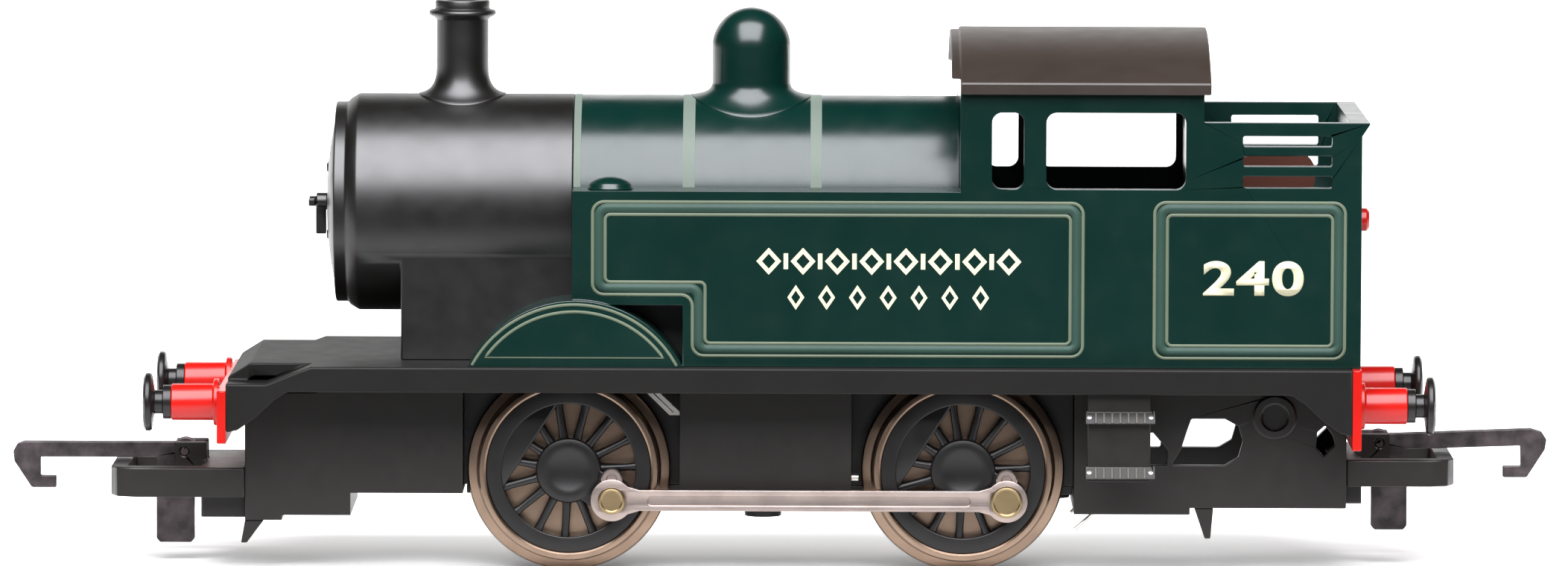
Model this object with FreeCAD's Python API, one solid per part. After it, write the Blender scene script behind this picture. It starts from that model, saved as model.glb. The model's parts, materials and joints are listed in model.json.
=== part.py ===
import FreeCAD, Part
import math
import os

"""Side-tank shunting locomotive for 16.5 mm gauge track, built as separate pieces.

Millimetres. +Z is up, the front of the locomotive points along -X and its left side is at -Y.
The origin lies on the surface the wheel flanges rest on, midway between the coupling hook tips.
"""

V = FreeCAD.Vector
UP = V(0, 0, 1)
ALONG = V(1, 0, 0)
ACROSS = V(0, 1, 0)

# ---- wheels and running gear
TREAD_R = 8.0
FLANGE_DEPTH = 1.05
FLANGE_R = TREAD_R + FLANGE_DEPTH
AXLE_Z = FLANGE_R
FRONT_AXLE_X = -18.75
REAR_AXLE_X = 16.3
WHEELBASE = REAR_AXLE_X - FRONT_AXLE_X
WHEEL_BACK = 7.25
FLANGE_W = 0.75
TYRE_W = 2.9
WHEEL_FACE = WHEEL_BACK + TYRE_W
TYRE_BORE_R = 7.35
RIM_R = 5.95
HUB_R = 2.9
WEB_Y = (WHEEL_BACK + 0.3, WHEEL_BACK + 0.75)
WEB_BORE_R = 2.2
BALANCE_X = -4.0
SPOKES = 15
SPOKE_W = 0.75
AXLE_R = 1.5
AXLE_PLAY = 0.06
CRANK_R = 4.6
LEFT_CRANK_DEG = -33.0
RIGHT_CRANK_DEG = LEFT_CRANK_DEG - 90.0
CRANK_BOSS_R = 1.85
PIN_R = 0.75
PIN_HEAD_R = 1.35
ROD_BACK = WHEEL_FACE + 0.55
ROD_THICK = 0.8
ROD_FACE = ROD_BACK + ROD_THICK
ROD_EYE_R = 1.87
ROD_HEIGHT = 1.85
OIL_CUP_R = 0.95
OIL_CUP_RISE = 1.85
OIL_CUP_STEP = 0.12
FLUTE_HALF_H = 0.42
FLUTE_DEPTH = 0.25
FLUTE_END = 3.2
ROD_FIT = 0.04
ROD_OPEN_PLAY = 0.1

# ---- motor and worm drive
GEAR_TEETH = 20
GEAR_MODULE = 0.4
GEAR_R = GEAR_TEETH * GEAR_MODULE / 2
GEAR_W = 1.6
TOOTH_W = 0.4
WORM_R = 2.0
WORM_PITCH = math.pi * GEAR_MODULE
WORM_Z = AXLE_Z + GEAR_R + WORM_R
WORM_X = (12.6, 20.0)
SHAFT_R = 0.75
MOTOR_X = (-8.0, 9.5)
MOTOR_HALF_W = 4.9
MOTOR_HALF_H = 6.0
TAG_Y = 2.6

# ---- superstructure
FOOT_TOP = 18.75
FOOT_THICK = 1.2
FOOT_UNDER = FOOT_TOP - FOOT_THICK
FOOT_HALF_W = 16.0
VALANCE_Z = 16.5
BEAM_FRONT_X = (-49.7, -48.9)
BEAM_REAR_X = (50.6, 51.4)
BODY_HALF_W = 14.5
WALL = 1.0
BOILER_Z = 32.25
BOILER_R = 9.65
SMOKEBOX_R = 9.7
RING_L = 1.05
SMOKEBOX_X = (-38.7, -18.4)
SADDLE_X = (-33.7, -8.2)
SADDLE_HALF_W = 8.6
TANK_FRONT = -18.4
TANK_STEP_X = -8.6
TANK_STEP_Z = 24.2
TANK_TOP = 34.3
CAB_X = (15.9, 37.4)
CAB_EAVES = 43.3
ROOF_X = (15.9, 38.0)
ROOF_CROWN = 48.1
ROOF_R = 30.2
ROOF_THICK = 0.9
ROOF_HALF_W = 15.2
BUNKER_REAR = 51.35
BUNKER_TOP = 40.55
WINDOW_Z = (34.6, 41.35)
WINDOWS_X = ((18.68, 21.5), (23.48, 35.8))
WINDOW_CORNER = 0.9
LOUVRES_X = (40.83, 48.7)
LOUVRES_Z = ((34.8, 35.8), (36.7, 37.6), (38.45, 39.35))
SPLASHER_X = -18.05
SPLASHER_Z = 14.05
SPLASHER_R = 10.6
SPLASHER_FACE = 15.4
CHIMNEY_X = -28.5
DOME_X = -2.66
FILLER_X = -15.05
FILLER_Y = 12.0

LOOK_OUT_R = 1.9
LOOK_OUT_Y = 9.4
LOOK_OUT_Z = 40.2
FOOT_DROP = 1.55
DROP_X = (-45.4, -41.4)
DECK_HALF_W = 12.0

# ---- ends of the locomotive
BUFFER_Y = 10.8
BUFFER_Z = 15.15
STOCK_R = 1.62
STOCK_LENGTH = 4.25
STOCK_BORE_R = 0.9
HEAD_R = 2.58
FRONT_LOOP_Z = (6.4, 9.05)
REAR_LOOP_Z = (7.7, 10.1)
LOOP_HALF_W = 8.5
LOOP_BAR = 1.5
HOOK_HALF_T = 0.5
LUG_Y = 1.5
PIVOT_R = 0.4
FRONT_PIVOT = (-53.3, 9.85)
REAR_PIVOT = (53.7, 10.95)

# ---- chassis moulding
FRAME_TOP = 17.5
FRAME_BOTTOM = 7.45
INNER_FRAME = (5.1, 6.3)
SIDE_FRAME = (7.8, 9.0)
KEEPER_Z = (6.65, FRAME_BOTTOM)
KEEPER_SCREWS_X = (-26.0, 24.5)
KEEPER_BOSS_X = -1.5
BODY_SCREW_X = -41.5
BODY_SCREW_R = 1.0
BODY_SCREW_TOP = FOOT_TOP - 0.45
KEEPER_SCREW_R = 0.75
SCREW_PLAY = 0.1
BUSH_R = 1.3
FRONT_BLOCK_HALF_W = 8.2
FRONT_BLOCK_Z = 4.8
REAR_BLOCK_Z = 5.8
FRAME_BOSS = (44.0, 13.95)
STEP_X = (27.0, 33.2)
STEP_Z = (9.0, 13.9)
STEP_OUT_Y = 15.9
PICKUP_Y = (8.6, 9.1)
STUD_X = (6.4, 7.0)
TAIL_R = 0.15


# ---------------------------------------------------------------- building blocks
def box(x, y, z):
    """A block between pairs of limits."""
    return Part.makeBox(x[1] - x[0], y[1] - y[0], z[1] - z[0], V(x[0], y[0], z[0]))


def mid_box(x, half_y, z):
    """A block centred across the locomotive."""
    return box(x, (-half_y, half_y), z)


def bar_x(radius, x, y, z):
    return Part.makeCylinder(radius, x[1] - x[0], V(x[0], y, z), ALONG)


def bar_y(radius, y, x, z):
    return Part.makeCylinder(radius, y[1] - y[0], V(x, y[0], z), ACROSS)


def bar_z(radius, z, x, y):
    return Part.makeCylinder(radius, z[1] - z[0], V(x, y, z[0]), UP)


def plate_y(points, y):
    """A flat plate with a side outline of (x, z) points, between two y limits."""
    corners = [V(px, y[0], pz) for px, pz in points]
    face = Part.Face(Part.makePolygon(corners + corners[:1]))
    return face.extrude(V(0, y[1] - y[0], 0))


def plate_z(points, z):
    """A flat plate with a plan outline of (x, y) points, between two z limits."""
    corners = [V(px, py, z[0]) for px, py in points]
    face = Part.Face(Part.makePolygon(corners + corners[:1]))
    return face.extrude(V(0, 0, z[1] - z[0]))


def turned_z(profile, x, y=0.0):
    """A solid of revolution about a vertical axis, from (radius, z) points."""
    corners = [V(x + r, y, z) for r, z in profile]
    face = Part.Face(Part.makePolygon(corners + corners[:1]))
    return face.revolve(V(x, y, 0), UP, 360)


def turned_x(profile, y, z):
    """A solid of revolution about a lengthwise axis, from (x, radius) points."""
    corners = [V(px, y, z + r) for px, r in profile]
    face = Part.Face(Part.makePolygon(corners + corners[:1]))
    return face.revolve(V(0, y, z), ALONG, 360)


def turned_y(profile):
    """A solid of revolution about the Y axis, from (y, radius) points."""
    corners = [V(r, py, 0) for py, r in profile]
    face = Part.Face(Part.makePolygon(corners + corners[:1]))
    return face.revolve(V(0, 0, 0), ACROSS, 360)


def window(x, z, radius, y):
    """A rounded rectangular opening seen from the side."""
    block = box(x, y, z)
    edges = [e for e in block.Edges if abs(e.BoundBox.YLength - (y[1] - y[0])) < 1e-6]
    return block.makeFillet(radius, edges)


def mirrored(shape):
    """The same shape on the other side of the centre line."""
    return shape.mirror(V(0, 0, 0), ACROSS)


def join(shapes):
    """One solid from touching or overlapping shapes."""
    return shapes[0].multiFuse(shapes[1:]).removeSplitter()


def group(shapes):
    """Separate solids kept in one part."""
    return Part.makeCompound([solid for shape in shapes for solid in shape.Solids])


def pair(shape):
    """A shape and its mirror image, as one piece."""
    return [shape, mirrored(shape)]


# ---------------------------------------------------------------- superstructure
def roof_arc(radius, x, half_w, z_low):
    """The solid under a lengthwise arch whose centre is that of the cab roof."""
    arch = bar_x(radius, x, 0, ROOF_CROWN - ROOF_R)
    return arch.common(mid_box(x, half_w, (z_low, ROOF_CROWN + WALL)))


def cab_roof():
    lip_x = (ROOF_X[0] - 0.8, ROOF_X[0])
    lip_low = CAB_EAVES + 1.0
    outer = roof_arc(ROOF_R, ROOF_X, ROOF_HALF_W, CAB_EAVES - 1.0)
    lip = roof_arc(ROOF_R - 0.25, lip_x, ROOF_HALF_W, lip_low)
    hollow = bar_x(ROOF_R - ROOF_THICK, (lip_x[0], ROOF_X[1]), 0, ROOF_CROWN - ROOF_R)
    return join([outer, lip]).cut(hollow)


def side_wall():
    """Tank, cab and bunker side of the left, with its windows and louvres."""
    y = (-BODY_HALF_W, -BODY_HALF_W + WALL)
    outline = [
        (TANK_FRONT, TANK_TOP),
        (TANK_FRONT, TANK_STEP_Z),
        (TANK_STEP_X, TANK_STEP_Z),
        (TANK_STEP_X, FOOT_TOP),
        (BUNKER_REAR, FOOT_TOP),
        (BUNKER_REAR, BUNKER_TOP),
        (CAB_X[1], BUNKER_TOP),
        (CAB_X[1], CAB_EAVES),
        (CAB_X[0], CAB_EAVES),
        (CAB_X[0], TANK_TOP),
    ]
    wall = plate_y(outline, y)
    through = (y[0] - WALL, y[1] + WALL)
    openings = [window(x, WINDOW_Z, WINDOW_CORNER, through) for x in WINDOWS_X]
    openings += [window(LOUVRES_X, z, 0.2, through) for z in LOUVRES_Z]
    return wall.cut(Part.makeCompound(openings))


def tank_shelves():
    """Top, bottom, front and rear-of-step plates of the left tank."""
    y = (-BODY_HALF_W, -BOILER_R + 0.8)
    step = (TANK_STEP_X, TANK_STEP_X + WALL)
    return [
        box((TANK_FRONT, CAB_X[0]), y, (TANK_TOP - WALL, TANK_TOP)),
        box((TANK_FRONT, step[1]), y, (TANK_STEP_Z, TANK_STEP_Z + WALL)),
        box((TANK_FRONT, TANK_FRONT + WALL), y, (TANK_STEP_Z, TANK_TOP)),
        box(step, y, (FOOT_TOP, TANK_STEP_Z + WALL)),
    ]


def splasher():
    """Curved cover over the left front wheel."""
    y = (-SPLASHER_FACE, -SADDLE_HALF_W)
    x = (SPLASHER_X - SPLASHER_R, SPLASHER_X + SPLASHER_R)
    shell = bar_y(SPLASHER_R, y, SPLASHER_X, SPLASHER_Z)
    hollow = bar_y(SPLASHER_R - WALL, (y[0] + WALL, y[1]), SPLASHER_X, SPLASHER_Z)
    above = box(x, y, (FOOT_TOP, SPLASHER_Z + SPLASHER_R))
    return shell.cut(hollow).common(above)


def cross_wall(x):
    """An end wall of the cab under the roof arch, with two round look-outs."""
    wall = roof_arc(ROOF_R - ROOF_THICK, x, BODY_HALF_W, FOOT_TOP)
    hole = bar_x(LOOK_OUT_R, (x[0] - WALL, x[1] + WALL), -LOOK_OUT_Y, LOOK_OUT_Z)
    return wall.cut(Part.makeCompound(pair(hole)))


def body_shell():
    left = [side_wall(), splasher()] + tank_shelves()
    right = [mirrored(shape) for shape in left]
    flare = plate_y([(BUNKER_REAR, BUNKER_TOP - 1.2), (BUNKER_REAR + 0.7, BUNKER_TOP - 0.15),
                     (BUNKER_REAR + 0.7, BUNKER_TOP), (BUNKER_REAR, BUNKER_TOP)],
                    (-BODY_HALF_W, BODY_HALF_W))
    ends = [
        cross_wall((CAB_X[0], CAB_X[0] + WALL)),
        cross_wall((CAB_X[1] - WALL, CAB_X[1])),
        mid_box((BUNKER_REAR - WALL, BUNKER_REAR), BODY_HALF_W, (FOOT_TOP, BUNKER_TOP)),
        flare,
    ]
    shell = join(left + right + ends)
    barrel = bar_x(BOILER_R, (TANK_FRONT - WALL, CAB_X[0]), 0, BOILER_Z)
    space = mid_box((SADDLE_X[0], CAB_X[0]), SADDLE_HALF_W, (FOOT_TOP, BOILER_Z))
    motor_way = mid_box((CAB_X[0] - WALL, CAB_X[0] + 2 * WALL), 7.0, (FOOT_TOP, 24.0))
    wire_way = mid_box((CAB_X[1] - 2 * WALL, CAB_X[1] + WALL), 4.0, (FOOT_TOP, 34.2))
    return shell.cut(Part.makeCompound([barrel.fuse(space), motor_way, wire_way]))


def bunker_lamp():
    """Round moulded tail lamp on the back of the bunker."""
    face = BUNKER_REAR + 1.35
    return turned_x([(BUNKER_REAR, 0), (BUNKER_REAR, 1.05), (face - 0.25, 1.05),
                     (face, 0.8), (face, 0)], 0, 30.9)


def boiler():
    x = (SMOKEBOX_X[1], CAB_X[0])
    return bar_x(BOILER_R, x, 0, BOILER_Z).cut(bar_x(BOILER_R - WALL, x, 0, BOILER_Z))


def smokebox():
    """Smokebox barrel and front ring on a hollow saddle."""
    front, back = SMOKEBOX_X
    ring_r = 8.95
    barrel = turned_x([(front, 0), (front, ring_r), (front + 0.25, 9.25), (front + 1.0, SMOKEBOX_R),
                       (back, SMOKEBOX_R), (back, 0)], 0, BOILER_Z)
    ring = bar_x(ring_r, (front - RING_L, front), 0, BOILER_Z)
    block = mid_box(SADDLE_X, SADDLE_HALF_W, (FOOT_TOP, BOILER_Z))
    inner = mid_box((SADDLE_X[0] + WALL, SADDLE_X[1]), SADDLE_HALF_W - WALL, (FOOT_TOP, BOILER_Z))
    boiler_way = bar_x(BOILER_R, (back, SADDLE_X[1]), 0, BOILER_Z)
    saddle = block.cut(inner).cut(boiler_way)
    hollow = bar_x(SMOKEBOX_R - WALL, (front + WALL, back), 0, BOILER_Z)
    door_seat = bar_x(7.95, (front - RING_L, front - RING_L + 0.7), 0, BOILER_Z)
    return join([barrel, ring, saddle]).cut(hollow).cut(door_seat)


def smokebox_door():
    """Dished door that sits in the front ring."""
    back = SMOKEBOX_X[0] - RING_L + 0.7
    return turned_x([(back, 0), (back, 7.9), (back - 0.5, 7.9), (back - 0.85, 7.2),
                     (back - 1.2, 5.4), (back - 1.45, 3.0), (back - 1.55, 0)], 0, BOILER_Z)


def door_dart():
    """Spindle with two levers that clamps the smokebox door."""
    face = SMOKEBOX_X[0] - RING_L - 0.85
    spindle = bar_x(0.45, (face - 1.6, face), 0, BOILER_Z)
    hub = bar_x(0.75, (face - 0.95, face), 0, BOILER_Z)
    lever = mid_box((face - 1.0, face - 0.1), 0.5, (BOILER_Z - 2.9, BOILER_Z))
    cross = box((face - 1.6, face - 1.05), (-1.9, 0.3), (BOILER_Z - 0.3, BOILER_Z + 0.3))
    return join([spindle, hub, lever, cross])


def door_hinges():
    """Two hinge knuckles at the right-hand edge of the door."""
    front = SMOKEBOX_X[0] - RING_L
    hinges = []
    for z in (BOILER_Z - 3.0, BOILER_Z + 3.0):
        hinges.append(bar_z(0.45, (z - 0.7, z + 0.7), front - 0.45, 8.1))
    return group(hinges)


def chimney():
    saddle_z = BOILER_Z + SMOKEBOX_R
    profile = [(0, saddle_z - 2.0), (3.85, saddle_z - 2.0), (3.85, saddle_z - 0.55),
               (3.2, saddle_z - 0.05), (2.75, saddle_z + 0.65), (2.45, saddle_z + 1.5),
               (2.33, saddle_z + 2.4), (2.33, 48.75), (2.8, 48.95), (3.0, 49.15), (2.9, 49.45),
               (2.45, 49.65), (2.45, 50.25), (2.35, 50.35), (1.5, 50.35), (1.5, 47.0), (0, 47.0)]
    barrel = bar_x(SMOKEBOX_R, (-40, -15), 0, BOILER_Z)
    return turned_z(profile, CHIMNEY_X).cut(barrel)


def dome():
    saddle_z = BOILER_Z + BOILER_R
    radius = 3.52
    crown_z = 46.25
    points = [(0, saddle_z - 2.6), (5.4, saddle_z - 2.6), (5.4, saddle_z - 1.35), (4.5, saddle_z - 0.6),
              (4.0, saddle_z - 0.05), (3.7, saddle_z + 0.6), (radius, saddle_z + 1.3)]
    for step in range(10):
        angle = math.radians(step * 10)
        points.append((radius * math.cos(angle), crown_z + radius * math.sin(angle)))
    points[-1] = (0, crown_z + radius)
    barrel = bar_x(BOILER_R, (-15, 10), 0, BOILER_Z)
    return turned_z(points, DOME_X).cut(barrel)


def tank_fillers():
    profile = [(0, TANK_TOP), (1.95, TANK_TOP), (1.9, TANK_TOP + 0.45), (1.4, TANK_TOP + 0.85),
               (0.7, TANK_TOP + 1.05), (0, TANK_TOP + 1.1)]
    return group([turned_z(profile, FILLER_X, y) for y in (-FILLER_Y, FILLER_Y)])


# ---------------------------------------------------------------- footplate and ends
def footplate():
    """Running plate with dropped front corners, sloping front deck, valances and wheel slots."""
    drop = FOOT_DROP
    front = BEAM_FRONT_X[1]
    rear = BEAM_REAR_X[0]
    low_x, high_x = DROP_X
    bend = 0.7
    top = [(high_x, FOOT_TOP), (high_x - bend, FOOT_TOP - 0.25), ((low_x + high_x) / 2, FOOT_TOP - drop / 2),
           (low_x + bend, FOOT_TOP - drop + 0.25), (low_x, FOOT_TOP - drop), (front, FOOT_TOP - drop)]
    under = [(x, z - FOOT_THICK) for x, z in reversed(top)]
    outline = [(rear, FOOT_TOP)] + top + under + [(rear, FOOT_UNDER)]
    plate = plate_y(outline, (-FOOT_HALF_W, FOOT_HALF_W))
    dropped = FOOT_TOP - drop
    deck = plate_y([(front, dropped - 0.6), (front, dropped + 0.3), (front + 2.0, FOOT_TOP),
                    (high_x + 1.0, FOOT_TOP), (high_x + 1.0, FOOT_UNDER), (front + 2.2, FOOT_UNDER),
                    (front + 1.0, dropped - 0.6)], (-DECK_HALF_W, DECK_HALF_W))
    skirt_top = FOOT_UNDER + 0.5
    skirt = plate_y([(front, skirt_top - drop), (front, 12.9), (front + 1.0, 13.1), (front + 2.6, 14.2),
                     (front + 4.2, 15.7), (front + 5.4, VALANCE_Z), (rear - 5.4, VALANCE_Z),
                     (rear - 4.2, 15.7), (rear - 2.6, 14.2), (rear - 1.0, 13.1), (rear, 12.9),
                     (rear, skirt_top), (high_x, skirt_top), (low_x, skirt_top - drop)],
                    (-FOOT_HALF_W, -FOOT_HALF_W + WALL))
    well = mid_box((-33.0, 50.0), 7.4, (FOOT_UNDER - WALL, FOOT_TOP))
    slots = []
    for x in (FRONT_AXLE_X, REAR_AXLE_X):
        slot_x = (x - 6.0, x + 6.0)
        slots.append(mid_box(slot_x, WHEEL_FACE + 0.6, (FOOT_UNDER - WALL, FOOT_TOP)))
    screw_z = (VALANCE_Z, BODY_SCREW_TOP + SCREW_PLAY)
    screw_way = bar_z(BODY_SCREW_R + SCREW_PLAY, screw_z, BODY_SCREW_X, 0)
    return join([plate, deck] + pair(skirt)).cut(Part.makeCompound([join([well] + slots), screw_way]))


def buffer_beam(x, z, outward):
    """Red beam with its two buffer stocks; outward is -1 at the front and 1 at the rear."""
    face = x[0] if outward < 0 else x[1]
    reach = sorted((face, face + outward * STOCK_LENGTH))
    flange = sorted((face, face + outward * 0.5))
    shapes = [mid_box(x, FOOT_HALF_W, z)]
    for y in (-BUFFER_Y, BUFFER_Y):
        shapes.append(bar_x(STOCK_R, reach, y, BUFFER_Z))
        shapes.append(bar_x(STOCK_R + 0.45, flange, y, BUFFER_Z))
    bores = [bar_x(STOCK_BORE_R, sorted((face, face + outward * STOCK_LENGTH * 2)), y, BUFFER_Z)
             for y in (-BUFFER_Y, BUFFER_Y)]
    return join(shapes).cut(Part.makeCompound(bores))


def buffer_heads(face, outward):
    """Two turned heads with collars, pressed into the bores of the buffer stocks."""
    tip = STOCK_LENGTH
    profile = [(0.6, 0), (0.6, STOCK_BORE_R), (tip, STOCK_BORE_R), (tip, 1.5), (tip + 0.75, 1.5),
               (tip + 0.75, 1.05), (tip + 1.5, 1.05), (tip + 1.75, HEAD_R - 0.1), (tip + 1.95, HEAD_R),
               (tip + 2.25, HEAD_R), (tip + 2.45, HEAD_R - 0.35), (tip + 2.6, 0)]
    placed = [(face + outward * along, radius) for along, radius in profile]
    return group([turned_x(placed, y, BUFFER_Z) for y in (-BUFFER_Y, BUFFER_Y)])


def coupling_loop(tip, root, inner, z, deep_z):
    """Flat buffing loop and its deeper rear block; tip and root are x positions."""
    out = 1 if tip > root else -1
    corner = 2.2
    rim = [(root, -LOOP_HALF_W), (tip - out * corner, -LOOP_HALF_W), (tip - out * 0.6, -LOOP_HALF_W + 0.7),
           (tip, -LOOP_HALF_W + corner), (tip, LOOP_HALF_W - corner), (tip - out * 0.6, LOOP_HALF_W - 0.7),
           (tip - out * corner, LOOP_HALF_W), (root, LOOP_HALF_W)]
    plate = plate_z(rim, z)
    gap_x = sorted((tip - out * LOOP_BAR, inner))
    gap = mid_box(gap_x, LOOP_HALF_W - 1.9, (z[0] - 1, z[1] + 1))
    block = mid_box(sorted((inner, root)), 6.2, (deep_z, z[1]))
    pivot_x, pivot_z = FRONT_PIVOT if out < 0 else REAR_PIVOT
    lug_x = sorted((pivot_x + out * 0.9, inner - out * 0.3))
    lug = box(lug_x, (-LUG_Y - 0.4, -LUG_Y + 0.4), (z[1] - 1.4, pivot_z + 0.9))
    pin_way = bar_y(PIVOT_R, (-3, 3), pivot_x, pivot_z)
    return join([plate.cut(gap), block] + pair(lug)).cut(pin_way)


def hook_pin(pivot):
    return bar_y(PIVOT_R - 0.02, (-1.9, 1.9), pivot[0], pivot[1])


def coupling_hook(pivot, points):
    """Flat hook, arm and hanging tail cut from sheet, turning on its pin."""
    blank = plate_y(points, (-HOOK_HALF_T, HOOK_HALF_T))
    eye = bar_y(1.15, (-HOOK_HALF_T, HOOK_HALF_T), pivot[0], pivot[1])
    pin_way = bar_y(PIVOT_R + 0.04, (-1, 1), pivot[0], pivot[1])
    return join([blank, eye]).cut(pin_way)


def front_hook_outline():
    return [(-53.0, 10.6), (-67.8, 10.6), (-68.4, 10.35), (-68.75, 9.7), (-68.65, 8.8), (-67.1, 6.45),
            (-64.9, 6.45), (-64.9, 7.5), (-66.3, 7.5), (-66.3, 9.2), (-55.9, 9.2), (-55.9, 1.9),
            (-55.6, 1.55), (-52.8, 1.55), (-52.5, 1.9), (-52.5, 9.6)]


def rear_hook_outline():
    return [(53.2, 11.65), (67.3, 12.2), (68.3, 11.9), (68.75, 11.2), (68.6, 10.3), (67.0, 7.8),
            (64.85, 7.8), (64.85, 8.8), (66.45, 8.8), (66.4, 10.65), (56.25, 10.3), (56.25, 3.4),
            (55.95, 3.05), (53.35, 3.05), (53.05, 3.4), (53.05, 10.3)]


# ---------------------------------------------------------------- chassis
def axle_slot(x):
    """Downward-open bearing slot for one axle, clear of the axle by the running play."""
    radius = AXLE_R + AXLE_PLAY
    y = (-SIDE_FRAME[1] - 1, SIDE_FRAME[1] + 1)
    drop = box((x - radius, x + radius), y, (FRAME_BOTTOM - 1, AXLE_Z))
    return bar_y(radius, y, x, AXLE_Z).fuse(drop)


def front_block():
    """Front end of the chassis with a pocket for the ballast."""
    low = FRONT_BLOCK_Z
    outline = [(-47.6, low - 0.44), (-44.3, low - 0.44), (-44.3, low), (-38.2, low), (-38.2, low + 2),
               (-28.2, low + 2), (-28.2, FRAME_TOP), (-41.2, FRAME_TOP), (-41.2, 15.8), (-47.6, 15.8)]
    block = plate_y(outline, (-FRONT_BLOCK_HALF_W, FRONT_BLOCK_HALF_W))
    pocket = mid_box((-38.0, -29.4), 7.0, (8.6, FRAME_TOP))
    screw_way = bar_z(BODY_SCREW_R + SCREW_PLAY, (low - 1, FRAME_TOP), BODY_SCREW_X, 0)
    head_way = bar_z(2.05, (low - 1, 7.0), BODY_SCREW_X, 0)
    return block.cut(Part.makeCompound([pocket, screw_way.fuse(head_way)]))


def rear_frames():
    """Pierced side frames and cross walls behind the rear wheels."""
    low = REAR_BLOCK_Z
    outline = [(26.2, low - 0.6), (36.5, low - 0.6), (36.5, low), (50.4, low), (50.4, FRAME_TOP),
               (26.2, FRAME_TOP)]
    plate = plate_y(outline, (-SIDE_FRAME[1], -SIDE_FRAME[0]))
    through = (-SIDE_FRAME[1] - 1, -SIDE_FRAME[0] + 1)
    slot = plate_y([(34.9, 9.6), (39.6, 9.6), (40.8, 10.3), (41.2, 11.7), (40.8, 13.1), (39.6, 13.75),
                    (36.6, 13.75), (36.2, 12.6), (35.7, 11.0)], through)
    triangle = plate_y([(32.95, 9.6), (34.4, 9.6), (34.5, 11.0), (33.2, 12.5), (32.95, 12.5)], through)
    gap = plate_y([(47.7, 11.2), (48.4, 10.4), (49.4, 11.4), (49.2, 12.2), (48.5, 13.2), (47.8, 12.6)],
                  through)
    side = plate.cut(Part.makeCompound([slot, triangle, gap]))
    boss = bar_y(1.9, (-SIDE_FRAME[1] - 0.45, -SIDE_FRAME[1]), *FRAME_BOSS)
    recess = bar_y(1.2, (-SIDE_FRAME[1] - 0.6, -SIDE_FRAME[1]), *FRAME_BOSS)
    side = join([side, boss]).cut(recess)
    walls = [mid_box((26.2, 27.6), SIDE_FRAME[1], (low - 0.6, FRAME_TOP)),
             mid_box((49.2, 50.4), SIDE_FRAME[1], (low, 9.6)),
             mid_box((43.0, 50.4), SIDE_FRAME[1], (low, 7.2))]
    return pair(side) + walls


def middle_frames():
    """Bearing frames inside the wheels and the wider middle between them."""
    inner = box((-28.2, 27.6), (-INNER_FRAME[1], -INNER_FRAME[0]), (FRAME_BOTTOM, FRAME_TOP))
    outer = box((-8.9, 6.4), (-9.3, -INNER_FRAME[1]), (FRAME_BOTTOM - 0.5, FRAME_TOP))
    hollow = box((-7.7, 5.2), (-8.1, -INNER_FRAME[1]), (FRAME_BOTTOM + 0.9, FRAME_TOP))
    floor = mid_box((-12.6, 10.4), INNER_FRAME[1], (FRAME_BOTTOM, FRAME_BOTTOM + 1.0))
    front_stretcher = mid_box((-28.2, -24.0), INNER_FRAME[1], (FRAME_BOTTOM, FRAME_TOP))
    rear_stretcher = mid_box((24.0, 27.6), INNER_FRAME[1], (FRAME_BOTTOM, FRAME_TOP))
    bearing_block = mid_box((21.4, 24.0), INNER_FRAME[1], (11.6, FRAME_TOP))
    return pair(inner) + pair(outer.cut(hollow)) + [floor, front_stretcher, rear_stretcher, bearing_block]


def chassis_frame():
    frame = join([front_block()] + middle_frames() + rear_frames())
    slots = [axle_slot(x) for x in (FRONT_AXLE_X, REAR_AXLE_X)]
    bush_way = bar_x(BUSH_R, (21.0, 24.0), 0, WORM_Z)
    shaft_room = bar_x(SHAFT_R + 0.3, (23.0, 25.5), 0, WORM_Z)
    tapping_r = KEEPER_SCREW_R + SCREW_PLAY / 2
    screw_ways = [bar_z(tapping_r, (FRAME_BOTTOM - 1, FRAME_BOTTOM + 3.5), x, 0) for x in KEEPER_SCREWS_X]
    return frame.cut(Part.makeCompound(slots + [bush_way.fuse(shaft_room)] + screw_ways))


def keeper_plate():
    """Bottom cover that holds both axles in their slots."""
    plate = mid_box((-27.9, 26.1), INNER_FRAME[1], KEEPER_Z)
    boss = bar_z(1.65, (4.1, KEEPER_Z[0]), KEEPER_BOSS_X, 0)
    gear_way = mid_box((REAR_AXLE_X - 5.0, REAR_AXLE_X + 5.0), GEAR_W, (4, KEEPER_Z[1]))
    holes = [bar_z(KEEPER_SCREW_R + SCREW_PLAY, (4, KEEPER_Z[1]), x, 0) for x in KEEPER_SCREWS_X]
    return join([plate, boss]).cut(Part.makeCompound([gear_way] + holes))


def keeper_screws():
    screws = []
    for x in KEEPER_SCREWS_X:
        shank = bar_z(KEEPER_SCREW_R, (KEEPER_Z[0], FRAME_BOTTOM + 3.3), x, 0)
        screws.append(join([slotted_head(1.5, 0.8, x, KEEPER_Z[0]), shank]))
    return group(screws)


def slotted_head(radius, height, x, z_top):
    """Cheese head with a driver slot in its lower face."""
    head = bar_z(radius, (z_top - height, z_top), x, 0)
    slot = box((x - radius, x + radius), (-0.2, 0.2), (z_top - height, z_top - height / 2))
    return head.cut(slot)


def body_screw():
    """Long screw from under the chassis into the smokebox end of the body."""
    head_top = 7.0
    shank = bar_z(BODY_SCREW_R, (head_top, BODY_SCREW_TOP), BODY_SCREW_X, 0)
    return join([slotted_head(1.9, 1.2, BODY_SCREW_X, head_top), shank])


def guard_irons(x_back, x_tip, z_top, z_tip, y):
    """Pair of tapered irons that hang below one end of the chassis."""
    half = 0.85
    outline = [(x_back - half, z_top), (x_back + half, z_top), (x_tip + 0.25, z_tip), (x_tip - 0.25, z_tip)]
    return group(pair(plate_y(outline, (-y - 0.4, -y + 0.4))))


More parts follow.
